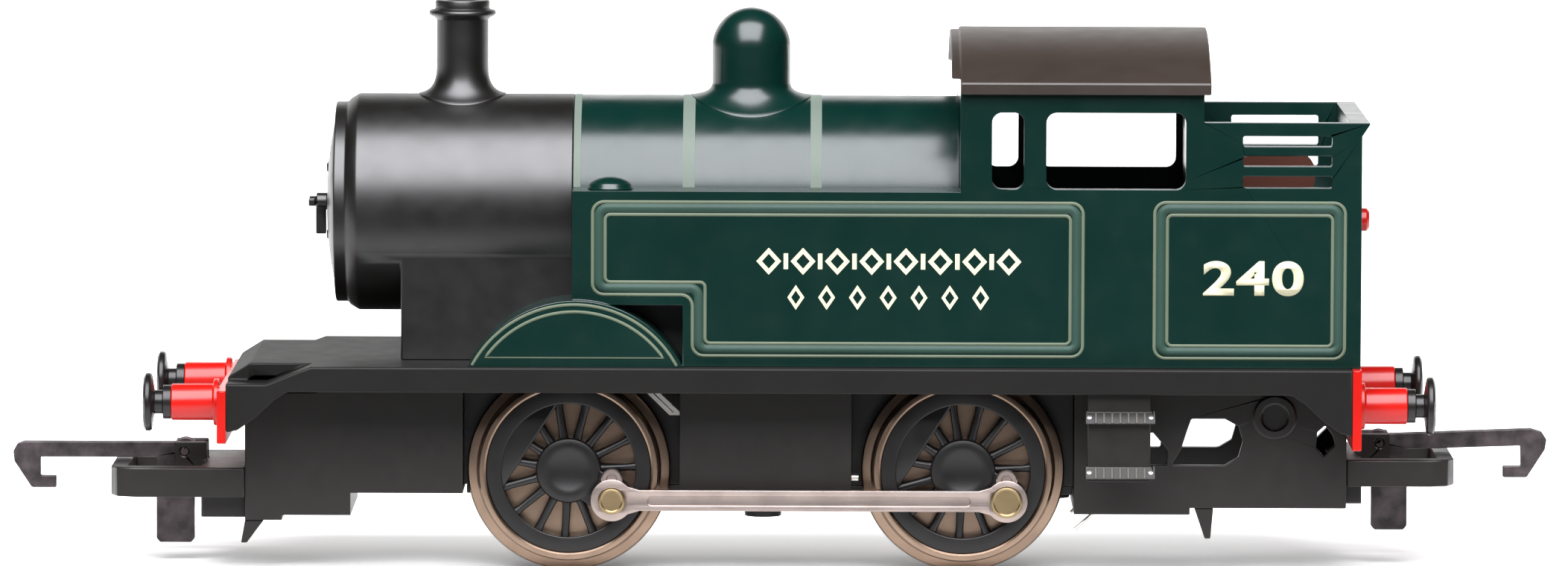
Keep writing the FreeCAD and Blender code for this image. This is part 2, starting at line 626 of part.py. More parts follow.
def cab_step(side):
    """Step bracket with two sloped, ribbed treads; side is -1 on the left, 1 on the right."""
    root_y = -STEP_OUT_Y + 1
    bracket = box((STEP_X[0] + 0.2, STEP_X[1] - 0.4), (root_y - 0.1, root_y + 0.6),
                  (STEP_Z[0] - 0.3, FOOT_UNDER))
    shapes = [bracket]
    for z in STEP_Z:
        corners = [V(STEP_X[0], -STEP_OUT_Y, z), V(STEP_X[0], root_y, z + 1.1), V(STEP_X[0], root_y, z)]
        face = Part.Face(Part.makePolygon(corners + corners[:1]))
        shapes.append(face.extrude(V(STEP_X[1] - STEP_X[0], 0, 0)))
    step = join(shapes)
    return step if side < 0 else mirrored(step)


def ballast():
    return mid_box((-37.7, -29.7), 6.7, (8.7, 16.2))


def rear_weight():
    """Cast weight in the base of the bunker."""
    block = mid_box((39.0, 49.8), 12.6, (FOOT_TOP + 0.1, 32.4))
    clip_way = mid_box((43.5, 45.3), 1.2, (30.9, 32.4))
    return block.cut(clip_way)


# ---------------------------------------------------------------- running gear
def at_wheel(shape, x, side, degrees):
    """Place a wheel part modelled about the Y axis with its outside at +Y and its crank along +X."""
    part = shape.copy()
    if side < 0:
        part = mirrored(part)
    part.rotate(V(0, 0, 0), ACROSS, -degrees)
    part.translate(V(x, 0, AXLE_Z))
    return part


def wheel_centre():
    """Spoked moulded insert with crank boss and balance weight; its hub insulates the axle."""
    back = WEB_Y[1]
    face = WHEEL_FACE - 0.3
    rim = bar_y(TYRE_BORE_R, (back, face), 0, 0).cut(bar_y(RIM_R, (back - 1, face + 1), 0, 0))
    hub = bar_y(HUB_R, (back, WHEEL_FACE - 0.1), 0, 0)
    bush = bar_y(WEB_BORE_R, (WHEEL_BACK + 0.1, back), 0, 0)
    shapes = [rim, hub, bush]
    for index in range(SPOKES):
        spoke = box((HUB_R - 0.4, RIM_R + 0.3), (back + 0.2, face - 0.35), (-SPOKE_W / 2, SPOKE_W / 2))
        spoke.rotate(V(0, 0, 0), ACROSS, (index + 0.5) * 360 / SPOKES)
        shapes.append(spoke)
    weight = bar_y(RIM_R + 0.2, (back + 0.15, face - 0.15), 0, 0)
    chord = box((-RIM_R - 1, BALANCE_X), (back - 1, face + 1), (-RIM_R, RIM_R))
    shapes.append(weight.common(chord))
    shapes.append(bar_y(CRANK_BOSS_R, (back, WHEEL_FACE + 0.3), CRANK_R, 0))
    shapes.append(box((0, CRANK_R), (back, WHEEL_FACE - 0.1), (-CRANK_BOSS_R + 0.2, CRANK_BOSS_R - 0.2)))
    bores = [bar_y(AXLE_R, (0, 20), 0, 0), bar_y(PIN_R, (0, 20), CRANK_R, 0)]
    return join(shapes).cut(Part.makeCompound(bores))


def tyre():
    """Turned metal wheel: flange, tread and a thin web behind the moulded insert."""
    flange_out = WHEEL_BACK + FLANGE_W
    profile = [(WEB_Y[1], TYRE_BORE_R), (WEB_Y[1], WEB_BORE_R), (WEB_Y[0], WEB_BORE_R),
               (WEB_Y[0], TYRE_BORE_R), (WHEEL_BACK, TYRE_BORE_R),
               (WHEEL_BACK, FLANGE_R - 0.3), (WHEEL_BACK + 0.2, FLANGE_R),
               (flange_out - 0.25, FLANGE_R), (flange_out, TREAD_R + 0.2), (flange_out + 0.2, TREAD_R),
               (WHEEL_FACE - 0.15, TREAD_R), (WHEEL_FACE, TREAD_R - 0.15), (WHEEL_FACE, TYRE_BORE_R)]
    return turned_y(profile)


def crankpin():
    """Shouldered pin screwed into the crank boss, with a slotted head outside the rod."""
    shank = bar_y(PIN_R, (WHEEL_BACK + 0.8, ROD_FACE + 0.12), CRANK_R, 0)
    head = bar_y(PIN_HEAD_R, (ROD_FACE + 0.12, ROD_FACE + 0.75), CRANK_R, 0)
    slot = box((CRANK_R - 0.2, CRANK_R + 0.2), (ROD_FACE + 0.5, ROD_FACE + 1), (-PIN_HEAD_R, PIN_HEAD_R))
    return join([shank, head]).cut(slot)


def axle(x):
    return bar_y(AXLE_R, (-WHEEL_FACE + 0.2, WHEEL_FACE - 0.2), x, AXLE_Z)


def axle_gear():
    """Spur-cut worm wheel on the rear axle, one tooth pointing up into a thread gap."""
    root_r = GEAR_R - 0.5
    tip_r = GEAR_R + 0.35
    half = (-GEAR_W / 2, GEAR_W / 2)
    shapes = [bar_y(root_r, half, 0, 0)]
    for index in range(GEAR_TEETH):
        right = [(TOOTH_W * 0.75, root_r - 0.3), (TOOTH_W / 2, GEAR_R), (TOOTH_W * 0.3, tip_r)]
        left = [(-x, z) for x, z in reversed(right)]
        tooth = plate_y(right + left, half)
        tooth.rotate(V(0, 0, 0), ACROSS, index * 360 / GEAR_TEETH)
        shapes.append(tooth)
    gear = join(shapes).cut(bar_y(AXLE_R, (-5, 5), 0, 0))
    gear.translate(V(REAR_AXLE_X, 0, AXLE_Z))
    return gear


def worm():
    """Single-start worm; its thread gap stands over the top tooth of the axle gear."""
    root_r = WORM_R - 0.45
    tip_r = WORM_R + 0.35
    inside = root_r - 0.15
    turns = 5
    start = REAR_AXLE_X - turns / 2 * WORM_PITCH
    core = bar_x(root_r, WORM_X, 0, 0)
    helix = Part.makeHelix(WORM_PITCH, turns * WORM_PITCH, inside)
    half_root, half_tip = 0.3, 0.15
    corners = [V(inside, 0, -half_root), V(tip_r, 0, -half_tip),
               V(tip_r, 0, half_tip), V(inside, 0, half_root)]
    sweep = Part.BRepOffsetAPI.MakePipeShell(Part.Wire(helix.Edges))
    sweep.setFrenetMode(True)
    sweep.add(Part.makePolygon(corners + corners[:1]))
    sweep.build()
    sweep.makeSolid()
    thread = sweep.shape()
    thread.rotate(V(0, 0, 0), ACROSS, 90)
    thread.translate(V(start, 0, 0))
    solid = join([core, thread]).cut(bar_x(SHAFT_R, (0, 40), 0, 0))
    solid.translate(V(0, 0, WORM_Z))
    return solid


def coupling_rod(side, degrees):
    """Fluted side rod with an oil cup over each eye; close fit on the rear pin, loose on the front."""
    rear_x = REAR_AXLE_X + CRANK_R * math.cos(math.radians(degrees))
    front_x = rear_x - WHEELBASE
    z = AXLE_Z + CRANK_R * math.sin(math.radians(degrees))
    y = (ROD_BACK, ROD_FACE)
    half = ROD_HEIGHT / 2
    shapes = [bar_y(ROD_EYE_R, y, rear_x, z), bar_y(ROD_EYE_R, y, front_x, z),
              box((front_x, rear_x), y, (z - half, z + half))]
    for x in (front_x, rear_x):
        shapes.append(bar_y(OIL_CUP_R, (ROD_BACK, ROD_FACE - OIL_CUP_STEP), x, z + OIL_CUP_RISE))
    flute = box((front_x + FLUTE_END, rear_x - FLUTE_END), (ROD_FACE - FLUTE_DEPTH, ROD_FACE + 1),
                (z - FLUTE_HALF_H, z + FLUTE_HALF_H))
    pin_ways = [bar_y(PIN_R + ROD_FIT, (0, 20), rear_x, z),
                bar_y(PIN_R + ROD_OPEN_PLAY, (0, 20), front_x, z)]
    rod = join(shapes).cut(Part.makeCompound([flute] + pin_ways))
    return rod if side > 0 else mirrored(rod)


# ---------------------------------------------------------------- motor and wiring
def motor_can():
    """Flat-sided steel can with a bearing boss on its drive end."""
    radius = MOTOR_HALF_H
    flat = mid_box(MOTOR_X, MOTOR_HALF_W, (WORM_Z - radius, WORM_Z + radius))
    can = bar_x(radius, MOTOR_X, 0, WORM_Z).common(flat)
    boss = bar_x(1.6, (MOTOR_X[1], MOTOR_X[1] + 0.9), 0, WORM_Z)
    shaft_way = bar_x(SHAFT_R + AXLE_PLAY, (MOTOR_X[0], MOTOR_X[1] + 2), 0, WORM_Z)
    return join([can, boss]).cut(shaft_way)


def motor_end_cap():
    """Moulded brush cap on the front of the can."""
    x = (MOTOR_X[0] - 2.6, MOTOR_X[0])
    radius = MOTOR_HALF_H - 0.3
    flat = mid_box(x, MOTOR_HALF_W - 0.3, (WORM_Z - radius, WORM_Z + radius))
    cap = bar_x(radius, x, 0, WORM_Z).common(flat)
    return cap.cut(bar_x(SHAFT_R + AXLE_PLAY, (x[0] - 1, x[1] + 1), 0, WORM_Z))


def motor_terminals():
    """Two brass tags on the brush cap."""
    x = (MOTOR_X[0] - 3.4, MOTOR_X[0] - 2.6)
    tag = box(x, (-TAG_Y - 0.8, -TAG_Y + 0.8), (WORM_Z + 3.0, WORM_Z + 3.4))
    return group(pair(tag))


def motor_shaft():
    return bar_x(SHAFT_R, (MOTOR_X[0] - 2.2, 23.8), 0, WORM_Z)


def worm_bearing():
    """Brass bush that carries the far end of the shaft."""
    x = (21.2, 23.0)
    return bar_x(BUSH_R, x, 0, WORM_Z).cut(bar_x(SHAFT_R + AXLE_PLAY, x, 0, WORM_Z))


def pickup(side):
    """Sprung bars behind the front wheel, a stud before the rear wheel and a bent wire tail behind it."""
    bars = []
    y = (-PICKUP_Y[1], -PICKUP_Y[0])
    for low_x in (-9.5, -8.85):
        top_x = low_x - 2.35
        outline = [(top_x - 0.2, 16.15), (top_x + 0.15, 16.3), (low_x, 14.2), (low_x - 0.3, 13.95)]
        bars.append(plate_y(outline, y))
    foot = box((-9.8, -8.9), y, (13.95, 14.2))
    stud = bar_x(0.3, STUD_X, -PICKUP_Y[0], 8.4)
    tail_y = -SIDE_FRAME[0] + 0.2
    tail = bar_z(TAIL_R, (5.6, 9.0), 28.5, tail_y).fuse(rod_between((28.5, 5.7), (26.3, 3.7), tail_y))
    wiper = group([join(bars + [foot]), stud, tail])
    return wiper if side < 0 else mirrored(wiper)


def rod_between(start, end, y):
    """Straight round wire between two (x, z) points."""
    first, last = V(start[0], y, start[1]), V(end[0], y, end[1])
    return Part.makeCylinder(TAIL_R, (last - first).Length, first, last - first)


def tube_along(points, radius):
    """Round wire through points: straight runs joined by arcs tangent to both."""
    vectors = [V(*p) for p in points]
    edges = []
    start = vectors[0]
    for before, corner, after in zip(vectors, vectors[1:], vectors[2:]):
        into = (corner - before).normalize()
        out = (after - corner).normalize()
        turn = into.getAngle(out)
        reach = 0.45 * min((corner - before).Length, (after - corner).Length)
        bend_r = reach / math.tan(turn / 2)
        inward = (out - into).normalize()
        middle = corner + inward * (bend_r / math.cos(turn / 2) - bend_r)
        enter = corner - into * reach
        leave = corner + out * reach
        edges.append(Part.LineSegment(start, enter).toShape())
        edges.append(Part.Arc(enter, middle, leave).toShape())
        start = leave
    edges.append(Part.LineSegment(start, vectors[-1]).toShape())
    route = Part.Wire(edges)
    first = (vectors[1] - vectors[0]).normalize()
    ring = Part.Wire([Part.makeCircle(radius, vectors[0], first)])
    return route.makePipeShell([ring], True, False)


def wire(side):
    """Insulated lead from a motor tag back under the cab floor to the suppressor in the bunker."""
    y = side * TAG_Y
    return tube_along([(-11.0, y, WORM_Z + 3.72), (-11.2, y, 21.9), (-6.0, side * 3.4, 22.05),
                       (6.0, side * 3.0, 21.9), (18.0, side * 3.2, 22.2), (30.0, side * 2.8, 25.5),
                       (36.2, side * 2.4, 32.6), (41.6, side * 2.0, 33.4)], 0.32)


def suppressor():
    """Flat dipped capacitor with two legs, standing in the slot of the bunker weight."""
    body = window((41.0, 47.8), (33.0, 36.9), 1.6, (-1.1, 1.1))
    legs = [box((44.2, 44.6), (side * 0.6 - 0.2, side * 0.6 + 0.2), (31.5, 33.5)) for side in (-1, 1)]
    return join([body] + legs)


# ---------------------------------------------------------------- the assembly
def running_gear():
    """Wheel parts by name."""
    centre, ring, pin = wheel_centre(), tyre(), crankpin()
    parts = {}
    for end, x in (("front", FRONT_AXLE_X), ("rear", REAR_AXLE_X)):
        for name, side, degrees in (("left", -1, LEFT_CRANK_DEG), ("right", 1, RIGHT_CRANK_DEG)):
            parts[f"{end}_wheel_{name}"] = at_wheel(centre, x, side, degrees)
            parts[f"{end}_tyre_{name}"] = at_wheel(ring, x, side, degrees)
            parts[f"{end}_crankpin_{name}"] = at_wheel(pin, x, side, degrees)
        parts[f"{end}_axle"] = axle(x)
    parts["axle_gear"] = axle_gear()
    parts["coupling_rod_left"] = coupling_rod(-1, LEFT_CRANK_DEG)
    parts["coupling_rod_right"] = coupling_rod(1, RIGHT_CRANK_DEG)
    return parts


def superstructure():
    return {
        "body_shell": body_shell(),
        "bunker_lamp": bunker_lamp(),
        "boiler": boiler(),
        "smokebox": smokebox(),
        "smokebox_door": smokebox_door(),
        "door_dart": door_dart(),
        "door_hinges": door_hinges(),
        "chimney": chimney(),
        "dome": dome(),
        "tank_fillers": tank_fillers(),
        "cab_roof": cab_roof(),
        "footplate": footplate(),
        "front_buffer_beam": buffer_beam(BEAM_FRONT_X, (11.9, 16.6), -1),
        "rear_buffer_beam": buffer_beam(BEAM_REAR_X, (11.6, FOOT_TOP), 1),
        "front_buffer_heads": buffer_heads(BEAM_FRONT_X[0], -1),
        "rear_buffer_heads": buffer_heads(BEAM_REAR_X[1], 1),
    }


def chassis():
    return {
        "chassis_frame": chassis_frame(),
        "keeper_plate": keeper_plate(),
        "keeper_screws": keeper_screws(),
        "body_screw": body_screw(),
        "front_guard_irons": guard_irons(-46.75, -47.7, 4.36, 2.3, 7.6),
        "rear_guard_irons": guard_irons(37.75, 38.1, 5.8, 3.04, 8.4),
        "cab_step_left": cab_step(-1),
        "cab_step_right": cab_step(1),
        "front_weight": ballast(),
        "rear_weight": rear_weight(),
        "front_coupling_loop": coupling_loop(-59.6, -47.6, -51.6, FRONT_LOOP_Z, 4.4),
        "rear_coupling_loop": coupling_loop(60.1, 50.4, 51.9, REAR_LOOP_Z, 5.95),
        "front_hook_pin": hook_pin(FRONT_PIVOT),
        "rear_hook_pin": hook_pin(REAR_PIVOT),
        "front_coupling_hook": coupling_hook(FRONT_PIVOT, front_hook_outline()),
        "rear_coupling_hook": coupling_hook(REAR_PIVOT, rear_hook_outline()),
    }


def drive():
    return {
        "motor_can": motor_can(),
        "motor_end_cap": motor_end_cap(),
        "motor_terminals": motor_terminals(),
        "motor_shaft": motor_shaft(),
        "worm": worm(),
        "worm_bearing": worm_bearing(),
        "pickup_left": pickup(-1),
        "pickup_right": pickup(1),
        "wire_red": wire(-1),
        "wire_black": wire(1),
        "suppressor": suppressor(),
    }


def main():
    os.makedirs("parts", exist_ok=True)
    parts = {**superstructure(), **chassis(), **running_gear(), **drive()}
    for name, shape in parts.items():
        shape.exportStep(f"parts/{name}.step")
        print(name, "solids", len(shape.Solids), "volume", round(shape.Volume, 3), "valid", shape.isValid())


main()
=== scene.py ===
"""Finish of a side-tank shunting locomotive for 16.5 mm gauge track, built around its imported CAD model.

Lengths in this file are millimetres until a mesh is made. +Z is up, the front points along -X and the
left side is at -Y, as in the CAD model.
"""
import bmesh
import bpy
import json
import math
from contextlib import contextmanager
from mathutils import Matrix, Vector


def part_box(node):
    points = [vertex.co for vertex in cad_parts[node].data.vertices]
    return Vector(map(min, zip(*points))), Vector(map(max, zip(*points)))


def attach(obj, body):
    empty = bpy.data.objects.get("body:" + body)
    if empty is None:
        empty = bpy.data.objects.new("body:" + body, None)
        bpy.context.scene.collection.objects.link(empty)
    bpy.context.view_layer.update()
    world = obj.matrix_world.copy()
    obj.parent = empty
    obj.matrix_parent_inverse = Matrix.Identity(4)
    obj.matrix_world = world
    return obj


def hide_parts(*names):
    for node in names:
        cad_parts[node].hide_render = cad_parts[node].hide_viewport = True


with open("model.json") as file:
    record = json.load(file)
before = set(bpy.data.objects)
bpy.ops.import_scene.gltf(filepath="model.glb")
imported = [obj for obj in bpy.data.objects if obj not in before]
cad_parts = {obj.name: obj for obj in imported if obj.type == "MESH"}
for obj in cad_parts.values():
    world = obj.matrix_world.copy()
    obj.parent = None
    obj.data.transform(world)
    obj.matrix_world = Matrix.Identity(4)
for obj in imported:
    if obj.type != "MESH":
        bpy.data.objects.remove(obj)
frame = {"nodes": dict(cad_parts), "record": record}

bl_info = {
    "name": "Side-tank locomotive finish",
    "version": (1, 0, 0),
    "blender": (4, 5, 0),
    "location": "View3D > Sidebar > Locomotive",
    "description": "Builds the painted, printed and plated surfaces of a small side-tank locomotive",
    "category": "Add Mesh",
}

MM = 0.001
WELD = 0.002 * MM
FLAT_ANGLE = math.radians(0.8)
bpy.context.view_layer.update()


def span(node):
    """Lowest and highest corners of a CAD node in millimetres."""
    low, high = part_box(node)
    return low / MM, high / MM


def middle(node):
    low, high = span(node)
    return (low + high) / 2


# ---- main dimensions, shared by several pieces
BODY_HALF_W = 14.5
BOILER_Z = middle("boiler").z
BOILER_R = (span("boiler")[1].z - span("boiler")[0].z) / 2
SMOKEBOX_R = 9.7
BOILER_FRONT, BOILER_BACK = span("boiler")[0].x, span("boiler")[1].x
CHIMNEY_X = middle("chimney").x
DOME_X = middle("dome").x
FOOT_TOP = span("body_shell")[0].z
TANK_TOP = span("tank_fillers")[0].z
AXLE_Z = middle("front_axle").z
AXLES_X = {"front": middle("front_axle").x, "rear": middle("rear_axle").x}
WHEEL_BACK = span("front_tyre_right")[0].y
WHEEL_FACE = span("front_tyre_right")[1].y
FLANGE_R = AXLE_Z
TREAD_R = FLANGE_R - 1.05
WEB_FACE = WHEEL_BACK + 0.75
RIM_R = 5.95
HUB_R = 2.9
SPLASHER_CENTRE = (-18.15, 14.05)
SPLASHER_FACE = -span("body_shell")[0].y
ROD_BACK, ROD_FACE = span("coupling_rod_right")[0].y, span("coupling_rod_right")[1].y
RIM_OUTER = 7.34
ROD_EYE_R, ROD_HALF_H = 1.87, 0.925
STEP_Z = (9.0, 13.9)
TREAD_RISE, TREAD_DEPTH = 1.1, 1.0
SIDES = {"left": -1, "right": 1}
ENDS = {"front": -1, "rear": 1}

# ---- places of what is printed on the body
TANK_PANEL = ((-16.71, 26.89), (19.6, 33.5))
TANK_PANEL_STEP = (-7.88, 25.0)
BUNKER_PANEL = ((32.93, 50.04), (19.5, 33.6))
SPLASHER_LINE_W = 0.26
OUTER_LINE_R, INNER_LINE_R = 10.25, 9.62
OUTER_LINE_Z, INNER_LINE_Z = FOOT_TOP + 0.16, FOOT_TOP + 0.85
NUMERALS, NUMERALS_AT, NUMERALS_SIZE = "240", (41.8, 26.75), (8.9, 3.1)
INK_HALF_THICK = 0.03
BANDS_X = ((BOILER_FRONT + 0.02, -17.74), (-8.68, -7.61), (2.66, 3.66))


# ---- settings a user would change
def linear(code):
    """Linear RGBA from an sRGB hex colour."""
    values = [int(code[i:i + 2], 16) / 255 for i in (1, 3, 5)]
    return [v / 12.92 if v <= 0.04045 else ((v + 0.055) / 1.055) ** 2.4 for v in values] + [1.0]


def paint_property(name, text, code):
    return bpy.props.FloatVectorProperty(name=name, description=text, subtype="COLOR", size=4, min=0, max=1,
                                         default=linear(code))


class LOCO_PG_paint(bpy.types.PropertyGroup):
    """Colours of the painted and printed parts."""
    body: paint_property("Body green", "Satin enamel of the tanks, cab, bunker and boiler", "#00251F")
    black: paint_property("Smokebox black", "Satin black of the smokebox, chimney and footplate", "#0A0805")
    roof: paint_property("Roof black", "Warm matt black of the cab roof", "#30261F")
    red: paint_property("Beam red", "Vermilion of the buffer beams and stocks", "#C61309")
    lining: paint_property("Lining", "Pale line printed along both edges of the lining", "#68735F")
    lining_core: paint_property("Lining core", "Mid-green band printed between the pale lines", "#2F4A40")
    numerals: paint_property("Numerals", "Cream of the numerals and ornament", "#E9E4BF")


class LOCO_PG_sizes(bpy.types.PropertyGroup):
    """Sizes of the finishing details, in metres."""
    edge: bpy.props.FloatProperty(name="Edge rounding", description="Rounding of moulded edges",
                                  default=0.11 * MM, min=0, unit="LENGTH")
    lining_width: bpy.props.FloatProperty(name="Lining width", description="Across the whole lining",
                                          default=1.4 * MM, min=0, unit="LENGTH")
    print_thickness: bpy.props.FloatProperty(name="Print thickness", description="Height of printed ink",
                                             default=0.05 * MM, min=0, unit="LENGTH")
    spokes: bpy.props.IntProperty(name="Spokes", description="Spokes in each wheel", default=15, min=3)
    key_light: bpy.props.FloatProperty(name="Key light", description="Power of the large soft light",
                                       default=38.0, min=0, unit="POWER")


def paint():
    return bpy.context.scene.loco_paint


def sizes():
    return bpy.context.scene.loco_sizes


# ---- node helpers
def add(tree, kind, inputs=None, **settings):
    """Add a node with its settings; each input is given a value, or a socket to be linked from."""
    node = tree.nodes.new(kind)
    for name, value in settings.items():
        setattr(node, name, value)
    for name, value in (inputs or {}).items():
        if isinstance(value, bpy.types.NodeSocket):
            tree.links.new(value, node.inputs[name])
        else:
            node.inputs[name].default_value = value
    return node


def blank_material(name, shader_values):
    """A material with one Principled shader; returns it with its tree and shader."""
    material = bpy.data.materials.new(name)
    material.use_nodes = True
    tree = material.node_tree
    shader = tree.nodes["Principled BSDF"]
    for socket, value in shader_values.items():
        shader.inputs[socket].default_value = value
    return material, tree, shader


def noise(tree, vector, size_mm, detail=2.0, **more):
    """Noise whose features are about size_mm across."""
    return add(tree, "ShaderNodeTexNoise",
               {"Vector": vector, "Scale": 1 / (size_mm * MM), "Detail": detail, **more})


def ramp_colours(tree, factor, dark, light, low=0.3, high=0.7):
    ramp = add(tree, "ShaderNodeValToRGB", {"Fac": factor})
    ramp.color_ramp.elements[0].position = low
    ramp.color_ramp.elements[0].color = dark
    ramp.color_ramp.elements[1].position = high
    ramp.color_ramp.elements[1].color = light
    return ramp.outputs["Color"]


def spread(tree, factor, low, high):
    """Map a 0 to 1 pattern onto low to high."""
    mapped = add(tree, "ShaderNodeMapRange", {"Value": factor, "To Min": low, "To Max": high})
    return mapped.outputs["Result"]


def scaled(colour, share):
    return [channel * share for channel in colour[:3]] + [1.0]


def lifted(colour, share):
    return [channel + (1 - channel) * share for channel in colour[:3]] + [1.0]


def relief(tree, shader, height, depth_mm):
    bump = add(tree, "ShaderNodeBump", {"Height": height, "Distance": depth_mm * MM, "Strength": 1.0})
    tree.links.new(bump.outputs["Normal"], shader.inputs["Normal"])


def moulded(name, colour, rough, grain_mm, depth_mm, specular=0.5, coat=0.0):
    """Paint or bare moulding: slow drift of colour and gloss, and a fine grain in the surface."""
    material, tree, shader = blank_material(name, {"IOR": 1.49, "Specular IOR Level": specular,
                                                   "Coat Weight": coat, "Coat Roughness": 0.18})
    place = add(tree, "ShaderNodeTexCoord").outputs["Object"]
    drift = noise(tree, place, 9.0, 3.0).outputs["Fac"]
    grain = noise(tree, place, grain_mm, 3.0).outputs["Fac"]
    specks = noise(tree, place, grain_mm * 6, 1.0).outputs["Fac"]
    tree.links.new(ramp_colours(tree, drift, scaled(colour, 0.86), lifted(colour, 0.0015)),
                   shader.inputs["Base Color"])
    tree.links.new(spread(tree, specks, rough - 0.06, rough + 0.06), shader.inputs["Roughness"])
    relief(tree, shader, grain, depth_mm)
    return material


def metal(name, code, rough, streak, depth_mm, mottle=0.8, uv=False):
    """Bare or plated metal; streak is the pattern size in mm along X, Y and Z, or along the turned UV."""
    material, tree, shader = blank_material(name, {"Metallic": 1.0})
    source = add(tree, "ShaderNodeUVMap", uv_map="turned") if uv else add(tree, "ShaderNodeTexCoord")
    place = source.outputs["UV" if uv else "Object"]
    unit = 1.0 if uv else 1 / MM
    stretch = add(tree, "ShaderNodeMapping", {"Vector": place, "Scale": [unit / s for s in streak]})
    lines = add(tree, "ShaderNodeTexNoise",
                {"Vector": stretch.outputs["Vector"], "Scale": 1.0, "Detail": 4.0})
    blotch = noise(tree, add(tree, "ShaderNodeTexCoord").outputs["Object"], 2.4, 4.0).outputs["Fac"]
    base = linear(code)
    tree.links.new(ramp_colours(tree, blotch, scaled(base, mottle), base, 0.25, 0.6),
                   shader.inputs["Base Color"])
    tree.links.new(spread(tree, lines.outputs["Fac"], rough - 0.08, rough + 0.1), shader.inputs["Roughness"])
    relief(tree, shader, lines.outputs["Fac"], depth_mm)
    return material


# ---- materials, each named for what it is
def green_enamel():
    # Satin enamel sprayed over moulded ABS: deep blue-green that turns pale and milky in a broad highlight.
    return moulded("Satin green enamel on ABS", list(paint().body), 0.25, 0.4, 0.0008, specular=0.68)


def black_enamel():
    # Satin black enamel on ABS: warm near-black with a wide grey sheen.
    return moulded("Satin black enamel on ABS", list(paint().black), 0.37, 0.35, 0.0012, specular=1.0)


def footplate_enamel():
    # The same black sprayed thinner and drier over the running plate: flatter, with little glare.
    return moulded("Dry black enamel on ABS", list(paint().black), 0.55, 0.3, 0.004, specular=0.3)


def roof_enamel():
    # Matt warm-black enamel on a thin moulded roof: the sheen is weak and even.
    return moulded("Matt roof enamel on ABS", list(paint().roof), 0.42, 0.35, 0.003, specular=0.7)


def black_nylon():
    # Self-coloured moulded nylon: slightly grey black with a fine spark-eroded grain.
    return moulded("Moulded black nylon", linear("#16130F"), 0.42, 0.22, 0.003)


def painted_highlight_nylon():
    # The same nylon painted paler on the step ribs: a painted highlight for the light the raised ribs catch.
    return moulded("Black nylon painted paler as a highlight", linear("#4A463F"), 0.45, 0.22, 0.003)


def gloss_black():
    # Black-oxidised turned buffer heads, oily and a little shiny.
    return moulded("Black oxide on turned buffer heads", linear("#181615"), 0.3, 0.3, 0.001)


def red_enamel():
    # Vermilion enamel of the beams, stocks and tail lamp: saturated, glossier than the body colours.
    return moulded("Vermilion enamel on ABS", list(paint().red), 0.3, 0.5, 0.001, coat=0.15)


def wheel_black():
    # Moulded black acetal wheel centres: smooth with a soft waxy sheen.
    return moulded("Moulded black acetal", linear("#131110"), 0.36, 0.3, 0.0015)


def lining_ink():
    # Pad-printed pale olive ink: flat, a touch uneven in cover.
    return moulded("Pad-printed lining ink", list(paint().lining), 0.55, 0.12, 0.002, specular=0.3)


def lining_core_ink():
    # Mid-green printed band between the pale lines.
    return moulded("Pad-printed green ink", list(paint().lining_core), 0.5, 0.12, 0.002, specular=0.3)


def numeral_ink():
    # Pad-printed cream ink, opaque and slightly raised.
    return moulded("Pad-printed cream ink", list(paint().numerals), 0.5, 0.12, 0.002, specular=0.3)


def band_ink():
    # Thin grey-cream ink of the boiler bands: the green shows through it a little.
    return moulded("Pad-printed boiler band ink", linear("#6E7A70"), 0.5, 0.15, 0.002, specular=0.3)


def bronze_nickel():
    # Nickel-plated brass tyre with turning lines: warm grey, glints run round the rim.
    return metal("Nickel-plated turned brass", "#9C8674", 0.3, (6.0, 0.09, 1.0), 0.0015, uv=True)


def rod_nickel():
    # Nickel-plated pressed steel side rod, drawn finish along its length: bright, faintly pink.
    return metal("Nickel-plated pressed steel", "#B5A69F", 0.34, (3.0, 0.12, 0.12), 0.0015)


def pin_brass():
    # Turned brass crankpin under worn nickel: tan in the middle, with concentric tool marks.
    return metal("Turned brass crankpin", "#A38F6C", 0.34, (3.0, 0.08, 1.0), 0.002, uv=True)


def plain_steel():
    # Bright drawn steel of axles and shafts.
    return metal("Drawn bright steel", "#A9A7A3", 0.28, (0.1, 4.0, 0.1), 0.001)


def screw_steel():
    # Zinc-plated screws, slightly blue and dulled.
    return metal("Zinc-plated steel screws", "#8F9192", 0.36, (0.15, 0.15, 0.5), 0.0015)


def blackened_steel():
    # Chemically blackened steel sheet of the couplings: brown-black with rubbed grey high spots.
    material, tree, shader = blank_material("Chemically blackened steel", {"Metallic": 0.55})
    place = add(tree, "ShaderNodeTexCoord").outputs["Object"]
    rubbed = noise(tree, place, 1.6, 5.0).outputs["Fac"]
    fine = noise(tree, place, 0.25, 3.0).outputs["Fac"]
    tree.links.new(ramp_colours(tree, rubbed, linear("#2E2A2B"), linear("#5A5254"), 0.35, 0.75),
                   shader.inputs["Base Color"])
    tree.links.new(spread(tree, fine, 0.34, 0.5), shader.inputs["Roughness"])
    relief(tree, shader, fine, 0.003)
    return material


def cut_brass():
    # Machined brass worm and tags: yellow, finely lined.
    return metal("Machined brass", "#C9A24B", 0.28, (0.12, 2.0, 0.12), 0.0015)


def wiper_strip():
    # Nickel-silver wiper strip, rolled smooth and very bright.
    return metal("Rolled nickel silver", "#F0EDE6", 0.3, (0.3, 3.0, 0.3), 0.001, mottle=0.92)


def can_steel():
    # Zinc-plated drawn steel motor can: pale, with drawing lines along it.
    return metal("Zinc-plated drawn steel can", "#B4B6B8", 0.33, (5.0, 0.2, 0.2), 0.0015)


